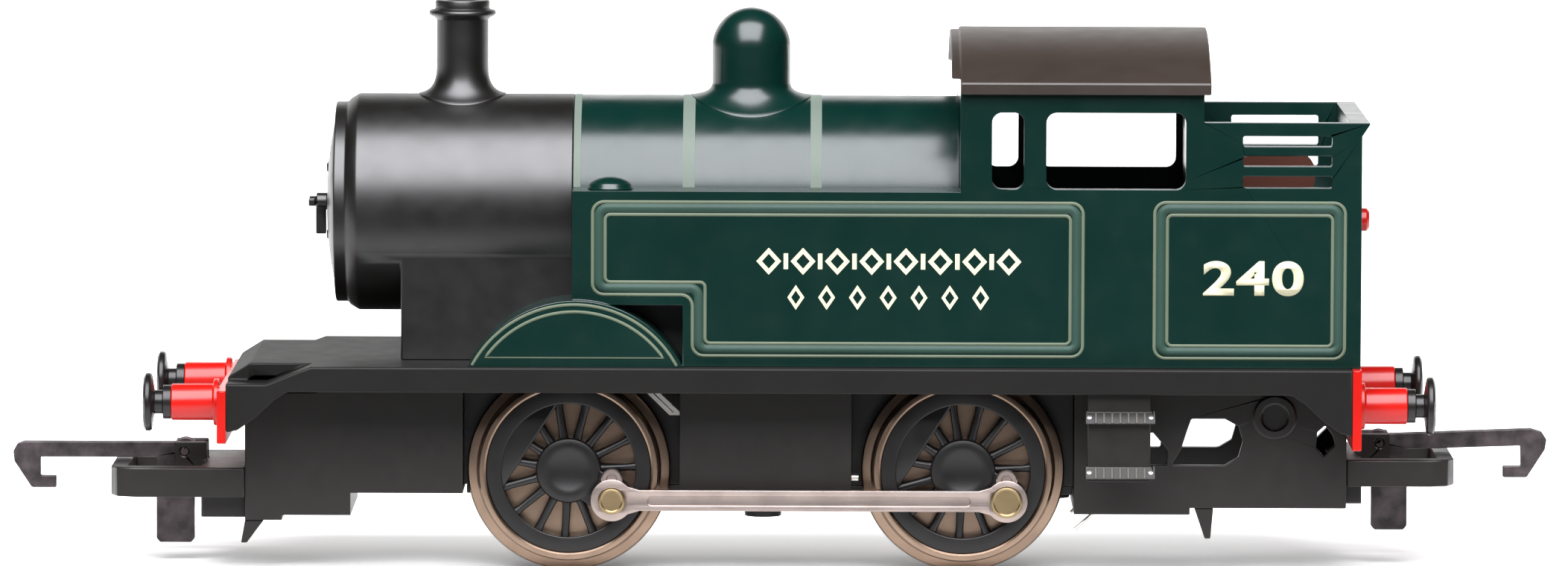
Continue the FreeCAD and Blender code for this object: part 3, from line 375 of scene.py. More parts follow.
def cast_weight():
    # Gravity-cast lead alloy: dull blue-grey with a rough skin.
    return metal("Cast lead alloy", "#7C8088", 0.58, (0.5, 0.5, 0.5), 0.02, mottle=0.6)


def white_nylon():
    # Unfilled nylon gear, milky and slightly translucent to the eye.
    return moulded("Cut natural nylon", linear("#D9D3BF"), 0.4, 0.3, 0.001)


def red_insulation():
    # Extruded PVC insulation, smooth and glossy.
    return moulded("Red PVC insulation", linear("#B3201A"), 0.32, 0.3, 0.001)


def black_insulation():
    # Extruded PVC insulation, smooth and glossy.
    return moulded("Black PVC insulation", linear("#1A1A1B"), 0.32, 0.3, 0.001)


def dipped_ceramic():
    # Ceramic capacitor dipped in red-brown resin: rounded, glossy, slightly lumpy.
    return moulded("Resin-dipped ceramic", linear("#4A2A20"), 0.3, 0.8, 0.01)


def floor_paper():
    # Matt paper sweep: white, with a painted glow behind the object that lifts its shadow there, and painted
    # dark grey in front of it as painted shade that also keeps the reflections in the sides dark.
    material, tree, shader = blank_material("Matt paper sweep", {
        "Roughness": 0.85, "Specular IOR Level": 0.1, "Emission Color": linear("#FFFFFF")})
    place = add(tree, "ShaderNodeTexCoord").outputs["Object"]
    away = add(tree, "ShaderNodeSeparateXYZ", {"Vector": place}).outputs["Y"]
    # Painted shade: the paper turns dark grey in front of the object.
    front_painted_shade = add(tree, "ShaderNodeMapRange", {"Value": away, "From Min": -0.08, "From Max": -0.032})
    # Painted light: the paper glows behind the object to lift the shadow there.
    glow_lifting_shadow = add(tree, "ShaderNodeMapRange", {"Value": away, "From Min": -0.012, "From Max": 0.03,
                                              "To Min": 0.0, "To Max": 0.9})
    fibre = noise(tree, place, 0.8, 4.0).outputs["Fac"]
    paper_with_painted_shade = ramp_colours(tree, front_painted_shade.outputs["Result"], linear("#202020"), linear("#F1F0EE"), 0.0, 1.0)
    tree.links.new(paper_with_painted_shade, shader.inputs["Base Color"])
    tree.links.new(glow_lifting_shadow.outputs["Result"], shader.inputs["Emission Strength"])
    relief(tree, shader, fibre, 0.01)
    return material


made_finishes = {}


def finish(maker):
    """The material made by one of the functions above, made once."""
    if maker not in made_finishes:
        made_finishes[maker] = maker()
    return made_finishes[maker]


# ---- outlines
def eased(points, reach, closed=True, steps=4, least=20):
    """The outline with each corner sharper than `least` degrees turned into a short curve."""
    out = []
    count = len(points)
    for index, corner in enumerate(points):
        here = Vector(corner)
        if not closed and index in (0, count - 1):
            out.append(tuple(here))
            continue
        before, after = Vector(points[index - 1]), Vector(points[(index + 1) % count])
        into, away = here - before, after - here
        if into.length < 1e-6 or away.length < 1e-6 or math.degrees(into.angle(away)) < least:
            out.append(tuple(here))
            continue
        start = here - into.normalized() * min(reach, 0.45 * into.length)
        end = here + away.normalized() * min(reach, 0.45 * away.length)
        for step in range(steps + 1):
            t = step / steps
            out.append(tuple(start * (1 - t) ** 2 + here * (2 * t * (1 - t)) + end * t ** 2))
    return out


def arc(centre, radius, start, end, steps=24):
    """Points along an arc, in degrees."""
    turns = [math.radians(start + (end - start) * step / steps) for step in range(steps + 1)]
    return [(centre[0] + radius * math.cos(a), centre[1] + radius * math.sin(a)) for a in turns]


def rectangle(x, z):
    return [(x[0], z[0]), (x[1], z[0]), (x[1], z[1]), (x[0], z[1])]


# ---- meshes
@contextmanager
def edited(mesh):
    """A mesh opened for bmesh operations and written back after them."""
    work = bmesh.new()
    work.from_mesh(mesh)
    yield work
    work.to_mesh(mesh)
    work.free()


def mesh_of(name, vertices, faces):
    """A mesh in metres from millimetre vertices, with its normals pointing out."""
    mesh = bpy.data.meshes.new(name)
    mesh.from_pydata([Vector(v) * MM for v in vertices], [], faces)
    with edited(mesh) as work:
        bmesh.ops.remove_doubles(work, verts=work.verts, dist=WELD)
        bmesh.ops.recalc_face_normals(work, faces=work.faces)
    return mesh


def temporary(mesh, name="temporary"):
    obj = bpy.data.objects.new(name, mesh)
    bpy.context.scene.collection.objects.link(obj)
    return obj


def evaluated_mesh(obj):
    """The plain mesh an object's modifiers give; the object is removed."""
    graph = bpy.context.evaluated_depsgraph_get()
    mesh = bpy.data.meshes.new_from_object(obj.evaluated_get(graph))
    bpy.data.objects.remove(obj)
    return mesh


def smooth(mesh, angle=40):
    mesh.shade_smooth()
    mesh.set_sharp_from_angle(angle=math.radians(angle))
    return mesh


def rounded(mesh, width_mm, segments=2, angle=30):
    """The mesh with its sharp edges rounded and its flat faces kept flat."""
    obj = temporary(smooth(mesh, 60))
    bevel = obj.modifiers.new("Edges", "BEVEL")
    bevel.width = width_mm * MM
    bevel.segments = segments
    bevel.limit_method = "ANGLE"
    bevel.angle_limit = math.radians(angle)
    bevel.use_clamp_overlap = False
    bevel.miter_outer = "MITER_ARC"
    bevel.face_strength_mode = "FSTR_ALL"
    weigh = obj.modifiers.new("Flat faces", "WEIGHTED_NORMAL")
    weigh.keep_sharp = True
    weigh.use_face_influence = True
    return evaluated_mesh(obj)


def merged(meshes):
    """One mesh from several."""
    work = bmesh.new()
    for mesh in meshes:
        work.from_mesh(mesh)
    joined = bpy.data.meshes.new("joined")
    work.to_mesh(joined)
    work.free()
    return joined


def moved(mesh, matrix):
    """A transformed copy; a mirroring matrix has its faces turned back out."""
    copy = mesh.copy()
    copy.transform(matrix)
    if matrix.determinant() < 0:
        copy.flip_normals()
    return copy


def shift(x=0.0, y=0.0, z=0.0):
    return Matrix.Translation(Vector((x, y, z)) * MM)


MIRROR = Matrix.Diagonal((1, -1, 1, 1))


def both_sides(mesh):
    return merged([mesh, moved(mesh, MIRROR)])


def node_copy(node):
    """A merged copy of a CAD node's mesh, its flat faces in as few triangles as their outline needs."""
    source = frame["nodes"][node].data
    mesh = bpy.data.meshes.new(node)
    mesh.from_pydata([v.co for v in source.vertices], [], [tuple(p.vertices) for p in source.polygons])
    with edited(mesh) as work:
        bmesh.ops.remove_doubles(work, verts=work.verts, dist=WELD)
        bmesh.ops.dissolve_limit(work, angle_limit=FLAT_ANGLE, verts=work.verts, edges=work.edges)
        bmesh.ops.triangulate(work, faces=work.faces, ngon_method="BEAUTY")
    return mesh


def lathe(profile, axis, centre, steps=96, closed=False):
    """A turned mesh from (along, radius) points about axis "x", "y" or "z", with a UV map in millimetres."""
    order = {"x": (0, 1, 2), "y": (1, 2, 0), "z": (2, 0, 1)}[axis]
    work = bmesh.new()
    rings = []
    travel = [0.0]
    for before, after in zip(profile, profile[1:] + profile[:1]):
        travel.append(travel[-1] + math.dist(before, after))
    for along, radius in profile:
        ring = []
        for step in range(1 if radius < 1e-4 else steps):
            turn = math.tau * step / steps
            place = [0.0, 0.0, 0.0]
            for slot, value in zip(order, (along, radius * math.cos(turn), radius * math.sin(turn))):
                place[slot] = value
            ring.append(work.verts.new((Vector(place) + Vector(centre)) * MM))
        rings.append(ring)
    layer = work.loops.layers.uv.new("turned")
    largest = max(radius for _, radius in profile)
    links = list(zip(range(len(rings)), range(1, len(rings))))
    if closed:
        links.append((len(rings) - 1, 0))
    for low, high in links:
        for step in range(steps):
            corners = []
            for ring, turn in ((low, step), (low, step + 1), (high, step + 1), (high, step)):
                vertex = rings[ring][turn % len(rings[ring])]
                run = travel[(high or low + 1) if ring == high else low]
                mark = ((turn / steps) * math.tau * largest, run)
                if vertex not in [v for v, _ in corners]:
                    corners.append((vertex, mark))
            if len(corners) < 3:
                continue
            face = work.faces.new([v for v, _ in corners])
            for loop, (_, mark) in zip(face.loops, corners):
                loop[layer].uv = mark
    bmesh.ops.recalc_face_normals(work, faces=work.faces)
    mesh = bpy.data.meshes.new("turned")
    work.to_mesh(mesh)
    work.free()
    return smooth(mesh, 35)


def sheet_piece(outlines, y, rounding=0.08):
    """A flat plate from side outlines of (x, z) points, the first outside and the rest holes."""
    curve = bpy.data.curves.new("outline", "CURVE")
    curve.dimensions = "2D"
    curve.fill_mode = "BOTH"
    curve.extrude = ((y[1] - y[0]) / 2 - rounding) * MM
    curve.bevel_depth = rounding * MM
    curve.bevel_resolution = 1
    curve.offset = -rounding * MM
    for outline in outlines:
        spline = curve.splines.new("POLY")
        spline.points.add(len(outline) - 1)
        for point, (px, pz) in zip(spline.points, outline):
            point.co = (px * MM, pz * MM, 0, 1)
        spline.use_cyclic_u = True
    mesh = evaluated_mesh(temporary(curve))
    mesh.transform(shift(y=(y[0] + y[1]) / 2) @ Matrix.Rotation(math.pi / 2, 4, "X"))
    with edited(mesh) as work:
        bmesh.ops.remove_doubles(work, verts=work.verts, dist=WELD / 2)
        bmesh.ops.recalc_face_normals(work, faces=work.faces)
    return smooth(mesh, 40)


def tube_faces(rings, steps):
    """Faces of a tube of rings of vertices, one ring after another, closed at both ends."""
    faces = []
    for low in range(0, (rings - 1) * steps, steps):
        high = low + steps
        for step in range(steps):
            after = (step + 1) % steps
            faces.append((low + step, low + after, high + after, high + step))
    faces.append(tuple(range(steps)))
    faces.append(tuple(range((rings - 1) * steps, rings * steps)))
    return faces


def block(x, y, z, rounding=0.1):
    """A block between pairs of limits with rounded edges."""
    corners = [(a, b, c) for a in x for b in y for c in z]
    faces = [(0, 1, 3, 2), (4, 6, 7, 5), (0, 4, 5, 1), (2, 3, 7, 6), (0, 2, 6, 4), (1, 5, 7, 3)]
    return rounded(mesh_of("block", corners, faces), rounding)


# ---- geometry node trees
def new_tree(name, inputs):
    """A geometry tree with named inputs; returns it with its input node."""
    tree = bpy.data.node_groups.new(name, "GeometryNodeTree")
    tree.interface.new_socket("Geometry", in_out="INPUT", socket_type="NodeSocketGeometry")
    for label, kind in inputs.items():
        tree.interface.new_socket(label, in_out="INPUT", socket_type="NodeSocket" + kind)
    tree.interface.new_socket("Geometry", in_out="OUTPUT", socket_type="NodeSocketGeometry")
    return tree, add(tree, "NodeGroupInput").outputs


def close_tree(tree, geometry, sources):
    """Place, realise and paint what the tree has made."""
    placed = add(tree, "GeometryNodeTransform", {"Geometry": geometry, "Translation": sources["Place"],
                                                 "Rotation": sources["Turn"]})
    real = add(tree, "GeometryNodeRealizeInstances", {"Geometry": placed.outputs["Geometry"]})
    painted = add(tree, "GeometryNodeSetMaterial", {"Geometry": real.outputs["Geometry"],
                                                    "Material": sources["Material"]})
    add(tree, "NodeGroupOutput", {"Geometry": painted.outputs["Geometry"]})
    return tree


def ring_tree():
    """Copies of one piece set round a circle in the XY plane, each turned to face outwards."""
    tree, sources = new_tree("Round a circle", {"Piece": "Object", "Count": "Int", "Radius": "Float",
                                                "First angle": "Float", "Place": "Vector",
                                                "Turn": "Rotation", "Material": "Material"})
    index = add(tree, "GeometryNodeInputIndex").outputs[0]
    pitch = add(tree, "ShaderNodeMath", {0: math.tau, 1: sources["Count"]}, operation="DIVIDE").outputs[0]
    angle = add(tree, "ShaderNodeMath", {0: index, 1: pitch, 2: sources["First angle"]},
                operation="MULTIPLY_ADD").outputs[0]
    turn = add(tree, "ShaderNodeCombineXYZ", {"Z": angle}).outputs[0]
    reach = add(tree, "ShaderNodeCombineXYZ", {"X": sources["Radius"]}).outputs[0]
    place = add(tree, "ShaderNodeVectorRotate", {"Vector": reach, "Rotation": turn},
                rotation_type="EULER_XYZ").outputs[0]
    points = add(tree, "GeometryNodePoints", {"Count": sources["Count"], "Position": place}).outputs[0]
    piece = add(tree, "GeometryNodeObjectInfo", {"Object": sources["Piece"]}).outputs["Geometry"]
    copies = add(tree, "GeometryNodeInstanceOnPoints", {"Points": points, "Instance": piece,
                                                        "Rotation": turn}).outputs[0]
    return close_tree(tree, copies, sources)


def row_tree():
    """Copies of one piece in a straight row."""
    tree, sources = new_tree("In a row", {"Piece": "Object", "Count": "Int", "Step": "Vector",
                                          "Place": "Vector", "Turn": "Rotation", "Material": "Material"})
    line = add(tree, "GeometryNodeMeshLine",
               {"Count": sources["Count"], "Offset": sources["Step"]}).outputs[0]
    piece = add(tree, "GeometryNodeObjectInfo", {"Object": sources["Piece"]}).outputs["Geometry"]
    copies = add(tree, "GeometryNodeInstanceOnPoints", {"Points": line, "Instance": piece}).outputs[0]
    return close_tree(tree, copies, sources)


def ribbon_tree():
    """A flat printed line that follows the edges it is given in the XY plane, with round corners."""
    tree, sources = new_tree("Printed line", {"Width": "Float", "Thickness": "Float", "Corner": "Float",
                                              "Place": "Vector", "Turn": "Rotation", "Material": "Material"})
    path = add(tree, "GeometryNodeMeshToCurve", {"Mesh": sources["Geometry"]}).outputs[0]
    soft = add(tree, "GeometryNodeFilletCurve", {"Curve": path, "Radius": sources["Corner"], "Count": 8,
                                                 "Limit Radius": True}, mode="POLY").outputs[0]
    upright = add(tree, "GeometryNodeSetCurveNormal", {"Curve": soft}, mode="Z_UP").outputs[0]
    section = add(tree, "GeometryNodeCurvePrimitiveQuadrilateral",
                  {"Width": sources["Width"], "Height": sources["Thickness"]}).outputs[0]
    line = add(tree, "GeometryNodeCurveToMesh", {"Curve": upright, "Profile Curve": section,
                                                 "Fill Caps": True}).outputs[0]
    return close_tree(tree, line, sources)


made_trees = {}


def grown(tree_maker, carrier, values):
    """The plain mesh that a tree gives; lengths in values are metres."""
    if tree_maker not in made_trees:
        made_trees[tree_maker] = tree_maker()
    tree = made_trees[tree_maker]
    obj = temporary(carrier)
    modifier = obj.modifiers.new("Tree", "NODES")
    modifier.node_group = tree
    for item in tree.interface.items_tree:
        if item.in_out == "INPUT" and item.name in values:
            modifier[item.identifier] = values[item.name]
    bpy.context.view_layer.update()
    return evaluated_mesh(obj)


def copies_of(tree_maker, seed_mesh, values):
    """Copies of one small mesh set out by a tree."""
    seed = temporary(seed_mesh, "seed")
    mesh = grown(tree_maker, bpy.data.meshes.new("carrier"), {"Piece": seed, **values})
    bpy.data.objects.remove(seed)
    return mesh


def ribbon(points, closed, width, corner, y, material, thickness=None):
    """A printed line along (x, z) points on the side plane at y."""
    edges = [(i, i + 1) for i in range(len(points) - 1)]
    if closed:
        edges.append((len(points) - 1, 0))
    carrier = bpy.data.meshes.new("path")
    carrier.from_pydata([Vector((px, pz, 0)) * MM for px, pz in points], edges, [])
    thick = sizes().print_thickness if thickness is None else thickness * MM
    return grown(ribbon_tree, carrier, {
        "Width": width * MM, "Thickness": thick, "Corner": corner * MM,
        "Place": (0.0, y * MM, 0.0), "Turn": (math.pi / 2, 0.0, 0.0), "Material": finish(material)})


# ---- finished pieces
def piece(name, mesh, body, slot, material, *nodes):
    """Hang a finished mesh on a body, in place of the CAD nodes it stands for."""
    mesh.name = name
    mesh.materials.clear()
    mesh.materials.append(finish(material))
    mesh.polygons.foreach_set("material_index", [0] * len(mesh.polygons))
    obj = temporary(mesh, name)
    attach(obj, body)
    if nodes:
        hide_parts(*nodes)
    return obj


def body_of(node):
    for name, members in frame["record"]["behaviour"]["bodies"].items():
        if node in members:
            return name
    raise ValueError(f"no body holds {node}")


def dressed(node, slot, material, rounding=None, segments=2):
    """A CAD node shown with merged faces and rounded edges."""
    width = sizes().edge / MM if rounding is None else rounding
    mesh = rounded(node_copy(node), width, segments)
    return piece(node + "_finished", mesh, body_of(node), slot, material, node)


def bare(node, material):
    """A hidden inner node shown with its own mesh and a material."""
    obj = frame["nodes"][node]
    obj.data.materials.clear()
    obj.data.materials.append(finish(material))
    obj.data.polygons.foreach_set("material_index", [0] * len(obj.data.polygons))
    return obj


def tank_outline():
    """Outer edge of the tank lining; the step clears the splasher."""
    (front, back), (low, high) = TANK_PANEL
    step_x, step_z = TANK_PANEL_STEP
    return [(front, high), (back, high), (back, low), (step_x, low), (step_x, step_z), (front, step_z)]


def inset(points, distance):
    """A closed right-angled outline moved inwards, for outlines listed clockwise."""
    out = []
    count = len(points)
    for index in range(count):
        before, here, after = (Vector(points[(index + k) % count]) for k in (-1, 0, 1))
        into, away = (here - before).normalized(), (after - here).normalized()
        step = Vector((into.y, -into.x)) + Vector((away.y, -away.x))
        out.append(tuple(here + step * distance))
    return out


def make_lining():
    """Two pale lines with a mid-green band between them round each tank and bunker panel."""
    width = sizes().lining_width / MM
    line = width * 0.2
    (front, back), (low, high) = BUNKER_PANEL
    bunker = [(front, high), (back, high), (back, low), (front, low)]
    pale, dark = [], []
    for outline in (tank_outline(), bunker):
        for y in (-BODY_HALF_W, BODY_HALF_W):
            pale.append(ribbon(inset(outline, line / 2), True, line, 1.0, y, lining_ink))
            pale.append(ribbon(inset(outline, width - line / 2), True, line, 0.45, y, lining_ink))
            dark.append(ribbon(inset(outline, width / 2), True, width - 2 * line, 0.75, y, lining_core_ink))
    piece("panel_lining_pale", merged(pale), "chassis", "green_shell", lining_ink)
    piece("panel_lining_dark", merged(dark), "chassis", "green_shell", lining_core_ink)


def make_splasher_lines():
    """Two arcs and a straight line printed on each splasher face."""
    meshes = []
    lines = ((OUTER_LINE_R, OUTER_LINE_Z, False), (INNER_LINE_R, INNER_LINE_Z, True))
    for y in (-SPLASHER_FACE, SPLASHER_FACE):
        for radius, floor, closed in lines:
            start = math.degrees(math.asin((floor - SPLASHER_CENTRE[1]) / radius))
            points = arc(SPLASHER_CENTRE, radius, start, 180 - start, 48)
            meshes.append(ribbon(points, closed, SPLASHER_LINE_W, 0.0, y, lining_ink))
    piece("splasher_lining", merged(meshes), "chassis", "green_shell", lining_ink)


def flat_sign(x, z, size, text):
    """Bold numerals as a thin raised print of a given (width, height), centred on (x, z)."""
    curve = bpy.data.curves.new("sign", "FONT")
    curve.body = text
    curve.size = MM
    curve.offset = 0.03 * MM
    curve.space_character = 1.1
    mesh = evaluated_mesh(temporary(curve))
    places = [v.co for v in mesh.vertices]
    low = Vector([min(p[k] for p in places) for k in range(2)])
    high = Vector([max(p[k] for p in places) for k in range(2)])
    across, up = size[0] * MM / (high.x - low.x), size[1] * MM / (high.y - low.y)
    centre = (low + high) / 2
    mesh.transform(Matrix.Diagonal((across, up, 1, 1)) @ Matrix.Translation((-centre.x, -centre.y, 0)))
    mesh.transform(shift(x=x, z=z) @ Matrix.Rotation(math.pi / 2, 4, "X"))
    return thickened(mesh, INK_HALF_THICK)


def thickened(mesh, half_thick):
    """A flat print in the XZ plane given a small thickness both ways."""
    with edited(mesh) as work:
        bmesh.ops.translate(work, verts=work.verts, vec=(0, -half_thick * MM, 0))
        grown_part = bmesh.ops.extrude_face_region(work, geom=list(work.faces), use_keep_orig=True)["geom"]
        far_vertices = [item for item in grown_part if isinstance(item, bmesh.types.BMVert)]
        bmesh.ops.translate(work, verts=far_vertices, vec=(0, 2 * half_thick * MM, 0))
        bmesh.ops.recalc_face_normals(work, faces=work.faces)
    return mesh


def make_numerals():
    """A generic running number on each bunker side, readable from that side."""
    x, z = NUMERALS_AT
    left = flat_sign(x, z, NUMERALS_SIZE, NUMERALS)
    right = flat_sign(-x, z, NUMERALS_SIZE, NUMERALS)
    right.transform(Matrix.Rotation(math.pi, 4, "Z"))
    left.transform(shift(y=-BODY_HALF_W))
    right.transform(shift(y=BODY_HALF_W))
    piece("bunker_numerals", merged([left, right]), "chassis", "green_shell", numeral_ink)


def make_ornament():
    """Two rows of plain lozenges and bars printed on each tank side."""
    turn = (math.pi / 2, 0.0, 0.0)
    meshes = []
    lozenge = frame_xy([(-1.1, 0), (0, -1.2), (1.1, 0), (0, 1.2)], INK_HALF_THICK)
    bar = plate_xy([(-0.2, -0.7), (0.2, -0.7), (0.2, 0.7), (-0.2, 0.7)], INK_HALF_THICK)
    small = frame_xy([(-0.75, 0), (0, -1.1), (0.75, 0), (0, 1.1)], INK_HALF_THICK)
    rows = ((lozenge, 8, -1.0, 3.03, 28.15), (bar, 7, 0.51, 3.03, 28.15), (small, 7, 1.4, 2.72, 24.95))
    for seed, count, start, step, z in rows:
        for y in (-BODY_HALF_W, BODY_HALF_W):
            meshes.append(copies_of(row_tree, seed.copy(), {
                "Count": count, "Step": (step * MM, 0.0, 0.0), "Place": (start * MM, y * MM, z * MM),
                "Turn": turn, "Material": finish(numeral_ink)}))
    piece("tank_ornament", merged(meshes), "chassis", "green_shell", numeral_ink)


def frame_xy(points, half_thick, inner=0.55):
    """A thin open outline in the XY plane; inner is the size of the opening."""
    count = len(points)
    rings = [(share, z) for z in (-half_thick, half_thick) for share in (1.0, inner)]
    vertices = [(px * share, py * share, z) for share, z in rings for px, py in points]
    faces = []
    for low, high in ((0, 1), (1, 3), (3, 2), (2, 0)):
        for i in range(count):
            after = (i + 1) % count
            faces.append((low * count + i, low * count + after, high * count + after, high * count + i))
    return mesh_of("frame", vertices, faces)


def plate_xy(points, half_thick):
    """A thin plate in the XY plane."""
    count = len(points)
    vertices = [(px, py, z) for z in (-half_thick, half_thick) for px, py in points]
    faces = [tuple(range(count)), tuple(range(count, 2 * count))]
    faces += [(i, (i + 1) % count, (i + 1) % count + count, i + count) for i in range(count)]
    return mesh_of("plate", vertices, faces)


def make_boiler():
    """Boiler barrel with printed bands."""
    radius, inner = BOILER_R, BOILER_R - 1.0
    profile = [(BOILER_FRONT, inner), (BOILER_FRONT, radius), (BOILER_BACK, radius), (BOILER_BACK, inner)]
    barrel = lathe(eased(profile, 0.1), "x", (0, 0, BOILER_Z), 144, closed=True)
    piece("boiler_barrel", barrel, "chassis", "green_shell", green_enamel, "boiler")
    bands = []
    for low, high in BANDS_X:
        ring = [(low, radius - 0.1), (low, radius + 0.04), (high, radius + 0.04), (high, radius - 0.1)]
        bands.append(lathe(ring, "x", (0, 0, BOILER_Z), 144, closed=True))
    piece("boiler_bands", merged(bands), "chassis", "green_shell", band_ink)


def make_smokebox():
    """Smokebox on its saddle, with the door and its fittings."""
    dressed("smokebox", "black_moulding", black_enamel, 0.14, 3)
    back = span("smokebox_door")[1].x
    profile = [(back, 0), (back, 7.9), (back - 0.38, 7.9), (back - 0.5, 7.75), (back - 0.72, 7.45),
               (back - 0.9, 6.9), (back - 1.15, 5.6), (back - 1.34, 4.1), (back - 1.47, 2.6),
               (back - 1.54, 1.2), (back - 1.56, 0)]
    door = lathe(profile, "x", (0, 0, BOILER_Z), 96)
    straps = []
    for z in (BOILER_Z - 3.0, BOILER_Z + 3.0):
        straps.append(block((back - 1.62, back - 0.55), (0.4, 8.4), (z - 0.38, z + 0.38), 0.08))
    piece("smokebox_door_skin", merged([door] + straps), "chassis", "black_moulding", black_enamel,
          "smokebox_door")
    dressed("door_dart", "black_moulding", black_enamel, 0.08)
    dressed("door_hinges", "black_moulding", black_enamel, 0.08)


def mounting(profile, x, barrel_r, steps=72):
    """A turned mounting whose foot follows the barrel: (radius, height, share of the barrel's fall)."""
    crown = BOILER_Z + barrel_r
    vertices = []
    for radius, height, share in profile:
        for step in range(steps):
            turn = math.tau * step / steps
            y = radius * math.sin(turn)
            fall = barrel_r - math.sqrt(barrel_r ** 2 - y ** 2)
            vertices.append((x + radius * math.cos(turn), y, crown + height - share * fall))
    return smooth(mesh_of("mounting", vertices, tube_faces(len(profile), steps)), 40)


def flare(foot_r, neck_r, height, steps=12):
    """A flared foot: steep at the neck and nearly flat where it meets the barrel."""
    out = []
    for step in range(steps + 1):
        t = step / steps
        radius = foot_r + (neck_r - foot_r) * (1 - (1 - t) ** 2.6)
        out.append((radius, 0.1 + (height - 0.1) * t ** 1.5, 1 - t * t * (3 - 2 * t)))
    return out


def make_chimney():
    """Chimney with a flared foot, a lip and a hollow top."""
    crown = BOILER_Z + SMOKEBOX_R
    foot = [(3.85, -0.6, 1.0), (3.9, 0.02, 1.0)] + flare(3.85, 2.33, 2.6)
    top = [(2.33, 48.6), (2.5, 48.8), (2.8, 48.93), (2.98, 49.08), (3.0, 49.2), (2.97, 49.35),
           (2.85, 49.47), (2.52, 49.55), (2.43, 49.65), (2.43, 50.2), (2.38, 50.32), (2.28, 50.35),
           (1.62, 50.35), (1.5, 50.25), (1.45, 47.2), (0.3, 47.0)]
    mesh = mounting(foot + [(r, z - crown, 0.0) for r, z in top], CHIMNEY_X, SMOKEBOX_R)
    piece("chimney_casting", mesh, "chassis", "black_moulding", black_enamel, "chimney")


def make_dome():
    """Round-topped dome with a low flared foot."""
    crown = BOILER_Z + BOILER_R
    radius = 3.52
    centre = span("dome")[1].z - radius
    foot = [(5.4, -0.6, 1.0), (5.45, 0.02, 1.0)] + flare(5.4, radius, 1.25)
    cap = [(radius * math.cos(math.radians(a)), centre + radius * math.sin(math.radians(a)))
           for a in list(range(0, 90, 6)) + [87, 89]]
    mesh = mounting(foot + [(r, z - crown, 0.0) for r, z in cap], DOME_X, BOILER_R)
    piece("dome_casting", mesh, "chassis", "green_shell", green_enamel, "dome")


def make_fillers():
    """Low domed tank filler caps with a rim."""
    low = TANK_TOP
    profile = [(low - 0.05, 0), (low - 0.05, 2.0), (low + 0.12, 2.0), (low + 0.2, 1.92), (low + 0.45, 1.86),
               (low + 0.62, 1.7), (low + 0.8, 1.4), (low + 0.95, 1.0), (low + 1.06, 0.5), (low + 1.1, 0)]
    centre = middle("tank_fillers").x
    caps = [lathe(profile, "z", (centre, y, 0), 48) for y in (-12.0, 12.0)]
    piece("tank_filler_caps", merged(caps), "chassis", "green_shell", green_enamel, "tank_fillers")


def make_footplate():
    """Running plate and both cab steps."""
    dressed("footplate", "black_moulding", footplate_enamel, 0.18, 3)
    for name in SIDES:
        dressed(f"cab_step_{name}", "chassis_moulding", black_nylon, 0.08)
    make_step_treads()


def make_step_treads():
    """Ribs across each sloping tread and a rivet near both its ends."""
    low, high = span("cab_step_left")
    slope = Matrix.Rotation(math.atan2(TREAD_RISE, TREAD_DEPTH), 4, "X")
    rib = moved(block((-0.11, 0.11), (0.08, 1.3), (-0.05, 0.1), 0.04), slope)
    rivet = lathe([(-0.05, 0), (-0.05, 0.26), (0.06, 0.22), (0.1, 0)], "z", (0, 0, 0), 20)
    ribs, rivets = [], []
    for z in STEP_Z:
        # The ribs get the paler copy of the nylon, a painted highlight where they catch the light.
        ribs.append(copies_of(row_tree, rib.copy(), {
            "Count": 7, "Step": (0.72 * MM, 0.0, 0.0), "Turn": (0.0, 0.0, 0.0),
            "Place": ((low.x + 0.95) * MM, low.y * MM, z * MM), "Material": finish(painted_highlight_nylon)}))
        for x in (low.x + 0.38, high.x - 0.38):
            rivets.append(moved(rivet, shift(x, low.y + TREAD_DEPTH / 2, z + TREAD_RISE / 2) @ slope))
    piece("cab_step_ribs", both_sides(merged(ribs)), "chassis", "chassis_moulding", painted_highlight_nylon)
    piece("cab_step_rivets", both_sides(merged(rivets)), "chassis", "screw_steel", screw_steel)


def make_beams():
    """Buffer beams with stocks, and the turned heads."""
    for end, outward in ENDS.items():
        dressed(f"{end}_buffer_beam", "red_moulding", red_enamel, 0.1)
        dressed(f"{end}_buffer_heads", "buffer_black", gloss_black, 0.06)


def make_chassis():
    """Chassis moulding, keeper plate, screws and guard irons."""
    for node in ("chassis_frame", "keeper_plate", "front_guard_irons", "rear_guard_irons"):
        dressed(node, "chassis_moulding", black_nylon, 0.1)
    for node in ("keeper_screws", "body_screw"):
        dressed(node, "screw_steel", screw_steel, 0.06)


def make_couplings():
    """Loop, hook and pin of the coupling at each end."""
    for end in ENDS:
        dressed(f"{end}_coupling_loop", "chassis_moulding", black_nylon, 0.14)
        dressed(f"{end}_coupling_hook", "hook_metal", blackened_steel, 0.1)
        dressed(f"{end}_hook_pin", "hook_metal", blackened_steel, 0.06)


def spoke_mesh():
    """One spoke along +X in the XY plane, a rounded oblong in section."""
    stations = ((2.6, 0.46, 0.68), (3.3, 0.37, 0.66), (5.3, 0.34, 0.64), (6.3, 0.46, 0.66))
    ring = 12
    vertices = []
    for along, half_w, half_d in stations:
        for step in range(ring):
            turn = math.tau * step / ring
            across, deep = math.cos(turn), math.sin(turn)
            vertices.append((along, half_w * math.copysign(abs(across) ** 0.55, across),
                             half_d * math.copysign(abs(deep) ** 0.55, deep)))
    return smooth(mesh_of("spoke", vertices, tube_faces(len(stations), ring)), 50)


